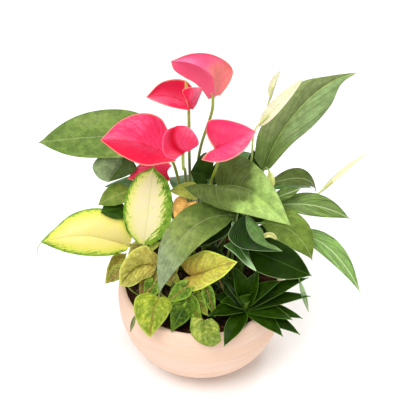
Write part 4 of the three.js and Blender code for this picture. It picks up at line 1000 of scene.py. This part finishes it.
# Small growth between them, which has no solids of its own
SMALL = dict(small=True, grid=(36, 18))
YOUNG = dict(ARROW_LEAF, **SMALL)
YOUNG.update(name="arrowhead_young_leaves", face=(0, -0.7, 0.7))
THIN = dict(LANCE_LEAF, **SMALL)
FILLER = dict(THIN, name="shaded_filler_leaf", rise=8, slope=3, face=(0, -0.9, 0.4))
SHOOT = dict(THIN, name="dieffenbachia_shoots", foot=(-62, -12), via=[(-70, -30, 205)], rise=8, slope=3,
             face=(0, -0.6, 0.8), half=5, petiole=1.4, slot="dieffenbachia_leaf")
leaves += [
    dict(YOUNG, foot=(-26, -70), via=[(-24, -82, 180)], joint=(-21, -90, 215), tip=(-49, -97, 191), half=13,
         tones="7ea02a 4c6e14 b4c454 44641a 90b43c"),
    dict(YOUNG, foot=(-16, -72), via=[(-18, -84, 170)], joint=(-17, -92, 192), tip=(1, -104, 158), half=11),
    dict(YOUNG, foot=(2, -68), via=[(6, -78, 170)], joint=(8, -84, 204), tip=(20, -92, 157), half=9),
    dict(YOUNG, foot=(-60, -66), via=[(-64, -76, 180)], joint=(-65, -84, 217), tip=(-77, -92, 194), half=13),
    dict(YOUNG, foot=(-40, -60), via=[(-40, -70, 190)], joint=(-40, -78, 250), tip=(-43, -86, 215), half=10,
         tones="b0a04a 7c7030 ccc070 8a7a3c a8ac48"),
    dict(YOUNG, foot=(-84, -46), via=[(-104, -62, 190)], joint=(-112, -70, 229), tip=(-131, -80, 213),
         half=11, tones="989440 6c6c28 b8b460 6c6c2c 94a040"),
    dict(YOUNG, foot=(-78, -34), via=[(-84, -40, 200)], joint=(-84, -48, 253), tip=(-103, -62, 233), half=12,
         tones="a89c48 7c7434 c4bc68 7c7434 a4a448"),
    # This young leaf's dark tones are painted shade.
    dict(YOUNG, foot=(20, -50), via=[(20, -58, 180)], joint=(18, -66, 229), tip=(32, -76, 195), half=12,
         tones="1e340a 0c1a02 34501a 2c4414 3c5820"),
    dict(THIN, name="curled_spathe", foot=(62, 14), via=[(68, -8, 200)], joint=(80, -40, 254),
         bow=(95, -40, 284), tip=(110, -40, 250), face=(0, -0.9, 0.4), half=4, curl=40, rise=8, slope=3,
         petiole=1.2, slot="lily_spathe", tones="dcd890 b0b458 ece8b4 a8b45c"),
    # Dark filler leaves in the gaps: their dark tones are painted shade.
    dict(FILLER, foot=(56, 22), via=[(62, 14, 180)], joint=(74, 4, 206), tip=(110, 10, 248), half=17,
         outline=OVAL, tones="223a0c 101e04 345018 48602c"),
    dict(FILLER, foot=(22, 34), via=[(20, 36, 230)], joint=(17, 36, 292), tip=(28, 44, 338), half=9),
    dict(FILLER, foot=(66, 70), via=[(70, 72, 220)], joint=(80, 70, 278), tip=(74, 72, 332), half=12),
    dict(THIN, name="thin_hanging_leaf", foot=(92, -36), via=[(122, -54, 186)], slope=6,
         joint=(138, -66, 206), tip=(154, -80, 155), face=(0.4, -0.8, 0.3), half=4, petiole=1.2,
         tones="8aa870 5c7c3c b0c898 c0d0a4"),
    dict(THIN, name="dry_leaf_tip", foot=(-70, -60), via=[(-82, -80, 166)], slope=4, joint=(-91, -100, 172),
         tip=(-100, -110, 146), face=(-0.5, -0.8, 0.3), half=3.5, curl=50, petiole=1.0,
         slot="arrowhead_leaf", tones="7c8450 545c30 9ca070 9c9c6c"),
    dict(SHOOT, joint=(-78, -42, 240), tip=(-102, -42, 252), tones="a8b44c 7c9034 ccd078 c4cc7c"),
    dict(SHOOT, joint=(-76, -42, 240), tip=(-56, -42, 256)),
]
grow(leaves)


# Peace lily flowers

LILY_SPATHE = dict(outline=OVAL, grid=(48, 16), relief=make_relief(9.0, 0.8, 1.0, 0.12, 0.15, 0.3, seed=9))
lily_flowers = [
    dict(LILY_SPATHE, name="left", foot=(56, 46), via=[(60, 40, 260), (70, 26, 350)], joint=(78, 22, 408),
         tip=(132, 10, 493), face=(-0.6, -0.6, 0.2), half=10, curl=50, arch=5),
    dict(LILY_SPATHE, name="back", foot=(60, 74), via=[(78, 92, 300)], joint=(98, 95, 401),
         tip=(109, 90, 454), face=(-0.8, -0.3, 0.2), half=9, curl=75, arch=3),
    dict(LILY_SPATHE, name="right", foot=(86, 46), via=[(112, 46, 200), (146, 40, 244)],
         joint=(172, 36, 281), tip=(233, 45, 346), face=(-0.5, -0.5, 0.7), half=6, curl=80, arch=4),
]
lily_cream = leaf_material("lily_cream", "e8e6c4", "dcdcb0", "eeecd0", "c4d08c", veins=9.0, sweep=0.8,
                           power=1.0, vein_strength=0.3, gloss=0.45, blotch=0.3, grain=0.25)
lily_stalk = stalk_material("lily_stalk", "a9c24e", "7fa038", "d3dc8a")
for flower in lily_flowers:
    name = flower["name"]
    base = surface(flower, 0.04, 0)
    ahead = unit(surface(flower, 0.4, 0) - base)
    up = -unit(np.cross(ahead, surface(flower, 0.1, 0.2) - surface(flower, 0.1, -0.2)))
    start = base + up * 2.2
    path = stem_path(flower["foot"], flower["via"], [start - ahead * 12, start + ahead * 22], 60)
    piece = Piece(f"lily_spathe_{name}_bloom", f"lily_spathe_{name}", slot="lily_spathe")
    add_blade(piece, flower, lily_cream)
    piece.make()
    piece = Piece(f"lily_spike_{name}_bloom", f"lily_spike_{name}", slot="lily_spike")
    add_stem(piece, path, 1.6, lily_stalk)
    piece.make()


# Dieffenbachia: its cane, and the leaves that the cane carries

cane = Piece("cane_grown", "dieffenbachia_cane", slot="cane")
path = stem_path((-64, -4), [(-70, -16, 185)], [(-74, -26, 226)], 60)
ringed = 5.7 + 0.5 * pulse(np.linspace(0, 1, len(path)) * 7, 0.12)
add_tube(cane, path, ringed, stalk_material("cane_paint", "7c9a44", "4c6c24", "98b05c"), 20)
cane.make()

OVAL_LEAF = dict(outline=OVAL, curl=20, rise=4, slope=14, petiole=2.2, steps=30, grid=(72, 36),
                 relief=make_relief(12.0, 0.36, 1.3, 0.12, 0.15, 0.5, seed=7, uneven=0.7),
                 paint=(leaf_material, ANTHURIUM_LOOK), slot="dieffenbachia_leaf")
dieffenbachia_leaves = [
    dict(OVAL_LEAF, name="dieffenbachia_leaf_level", foot=(-74, -24, 212), via=[(-84, -36, 232)],
         bulge=(0.14, 0.14),
         rib=[(-100, -46, 252), (-128, -52, 269), (-159, -56, 280), (-190, -58, 278), (-220, -55, 267)],
         left=[(-104, -56, 252), (-125, -66, 253), (-155, -72, 257), (-185, -70, 262), (-207, -62, 265)],
         right=[(-96, -36, 269), (-108, -26, 288), (-140, -20, 299), (-178, -26, 294), (-206, -42, 276)],
         hair=[(-219, -55, 267.5), (-226, -56, 258), (-227.5, -56, 238)],
         paint=(variegated_material, dict(feather=7.0)), tones="ded080 d8d254 84aa32 507e1a"),
    dict(OVAL_LEAF, name="dieffenbachia_leaf_upright", foot=(-73, -26, 218), via=[(-76, -40, 236)],
         joint=(-79, -46, 256), tip=(-65, 4, 354), face=(-0.05, -0.9, 0.5), half=34, arch=4, outline=ROUND,
         paint=(variegated_material, dict(feather=6.0, wide_right=3.4)), tones="e6daac dfdc7c 7ca22e 4c7a1a"),
    dict(OVAL_LEAF, name="dieffenbachia_leaf_narrow", foot=(-74, -22, 215), via=[(-88, -10, 262)],
         joint=(-98, 5, 311), tip=(-142, -20, 305), face=(0, -0.5, 0.9), half=16, arch=10,
         tones="6d8334 425721 a5af5a b0b36a"),
    dict(OVAL_LEAF, name="dieffenbachia_leaf_round", foot=(-74, -20, 205), via=[(-92, -14, 240)],
         joint=(-106, -12, 294), tip=(-138, -30, 300), face=(0, -0.5, 0.9), half=17, arch=3,
         tones="30500c 1a3406 4c701c 5c7a30"),
]
grow(dieffenbachia_leaves)


# Compact dracaena: the azimuth and rise of each strap leaf in degrees, and its length

ROSETTE = (64, -80, 171)
rosette_leaves = [
    (162, 48, 60), (51, 58, 53), (10, 38, 62), (11, 22, 96), (4, 6, 92), (-6, -14, 84), (-22, -4, 70),
    (-20, -22, 88), (-38, -20, 69), (-168, 18, 40), (-122, -28, 68), (-160, -4, 58), (127, 58, 60),
    (172, 10, 50), (-60, 70, 30), (146, 24, 62),
]
STRAP_LEAF = dict(outline=STRAP, half=13.5, curl=25, arch=12, grid=(36, 14), thickness=0.9,
                  relief=make_relief(2.0, 0.0, 1.0, 0.0, 0.0, 0.6, 2.0, seed=10, uneven=0.5))
strap_paint = leaf_material("strap", "223c02", "0c1c00", "3c6010", "406020", veins=3.0, gloss=0.28,
                            shine=0.08, vein_strength=0.12, margin="5f8434")
head = Piece("dracaena_head_grown", "dracaena_head", slot="dracaena_leaf")
crown = vec(ROSETTE)
add_stem(head, stem_path((61, -76), [], [crown + (0, 0, 6)], 24), 5,
         stalk_material("dracaena_stem", "4f6a1c", "2c4410", "5f7c28"), 1.0, 0.95, 14)
for k, (azimuth, rise, reach) in enumerate(rosette_leaves):
    turn, lift = math.radians(azimuth), math.radians(rise)
    out = vec((math.cos(turn), math.sin(turn), 0))
    root = crown + out * 3
    root[2] = ROSETTE[2] - 12 + rise / 6 + 1.5 * (k % 3)
    tip = crown + out * reach * math.cos(lift)
    tip[2] += reach * math.sin(lift)
    face = (-out[0] * math.sin(lift), -out[1] * math.sin(lift), 1)
    add_blade(head, dict(STRAP_LEAF, joint=root, tip=tip, face=face), strap_paint)
head.make()


# Studio: floor, lights and the photograph's camera

FLOOR_REACH = 6.0
floor_mesh = bpy.data.meshes.new("studio_floor")
corners = [(FLOOR_REACH * i, FLOOR_REACH * j, 0) for i, j in ((-1, -1), (1, -1), (1, 1), (-1, 1))]
floor_mesh.from_pydata(corners, [], [(0, 1, 2, 3)])
floor_paint = Paint("floor_paint", 0.9)
floor_paint.put(floor_paint.shader["Base Color"], "ffffff")
floor_mesh.materials.append(floor_paint.material)
floor = bpy.data.objects.new("studio_floor", floor_mesh)
bpy.context.scene.collection.objects.link(floor)
floor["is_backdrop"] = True

world = bpy.data.worlds.new("studio")
bpy.context.scene.world = world
world.use_nodes = True
background = world.node_tree.nodes["Background"].inputs
background["Color"].default_value = (1, 1, 1, 1)
background["Strength"].default_value = 0.55
bpy.context.scene.view_settings.view_transform = "Standard"

PLANT_CENTRE = Vector((0, 0, 0.28))


def soft_light(name, place, size, power):
    """A round lamp that faces the plants."""
    lamp = bpy.data.lights.new(name, "AREA")
    lamp.shape = "DISK"
    lamp.size, lamp.energy = size, power
    light = bpy.data.objects.new(name, lamp)
    bpy.context.scene.collection.objects.link(light)
    light.location = place
    light.rotation_euler = (PLANT_CENTRE - Vector(place)).to_track_quat("-Z", "Y").to_euler()


soft_light("key", (-0.5, -0.9, 2.0), 1.3, 34)
soft_light("top_back", (0.4, 0.7, 1.9), 1.2, 21)

# The photograph is matched from 40 degrees above, 1.4 m from a point over the bowl
camera_data = bpy.data.cameras.new("camera")
camera_data.lens = 90
camera_data.sensor_width = 36
camera = bpy.data.objects.new("camera", camera_data)
bpy.context.scene.collection.objects.link(camera)
camera.location = (-0.0015, -1.0725, 1.1969)
camera.rotation_euler = (math.radians(50), 0, 0)
bpy.context.scene.camera = camera

for label, box in (("cad", cad_box), ("visual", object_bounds())):
    low, high = box
    json.dumps({label: [list(low), list(high)]}) + "\n"
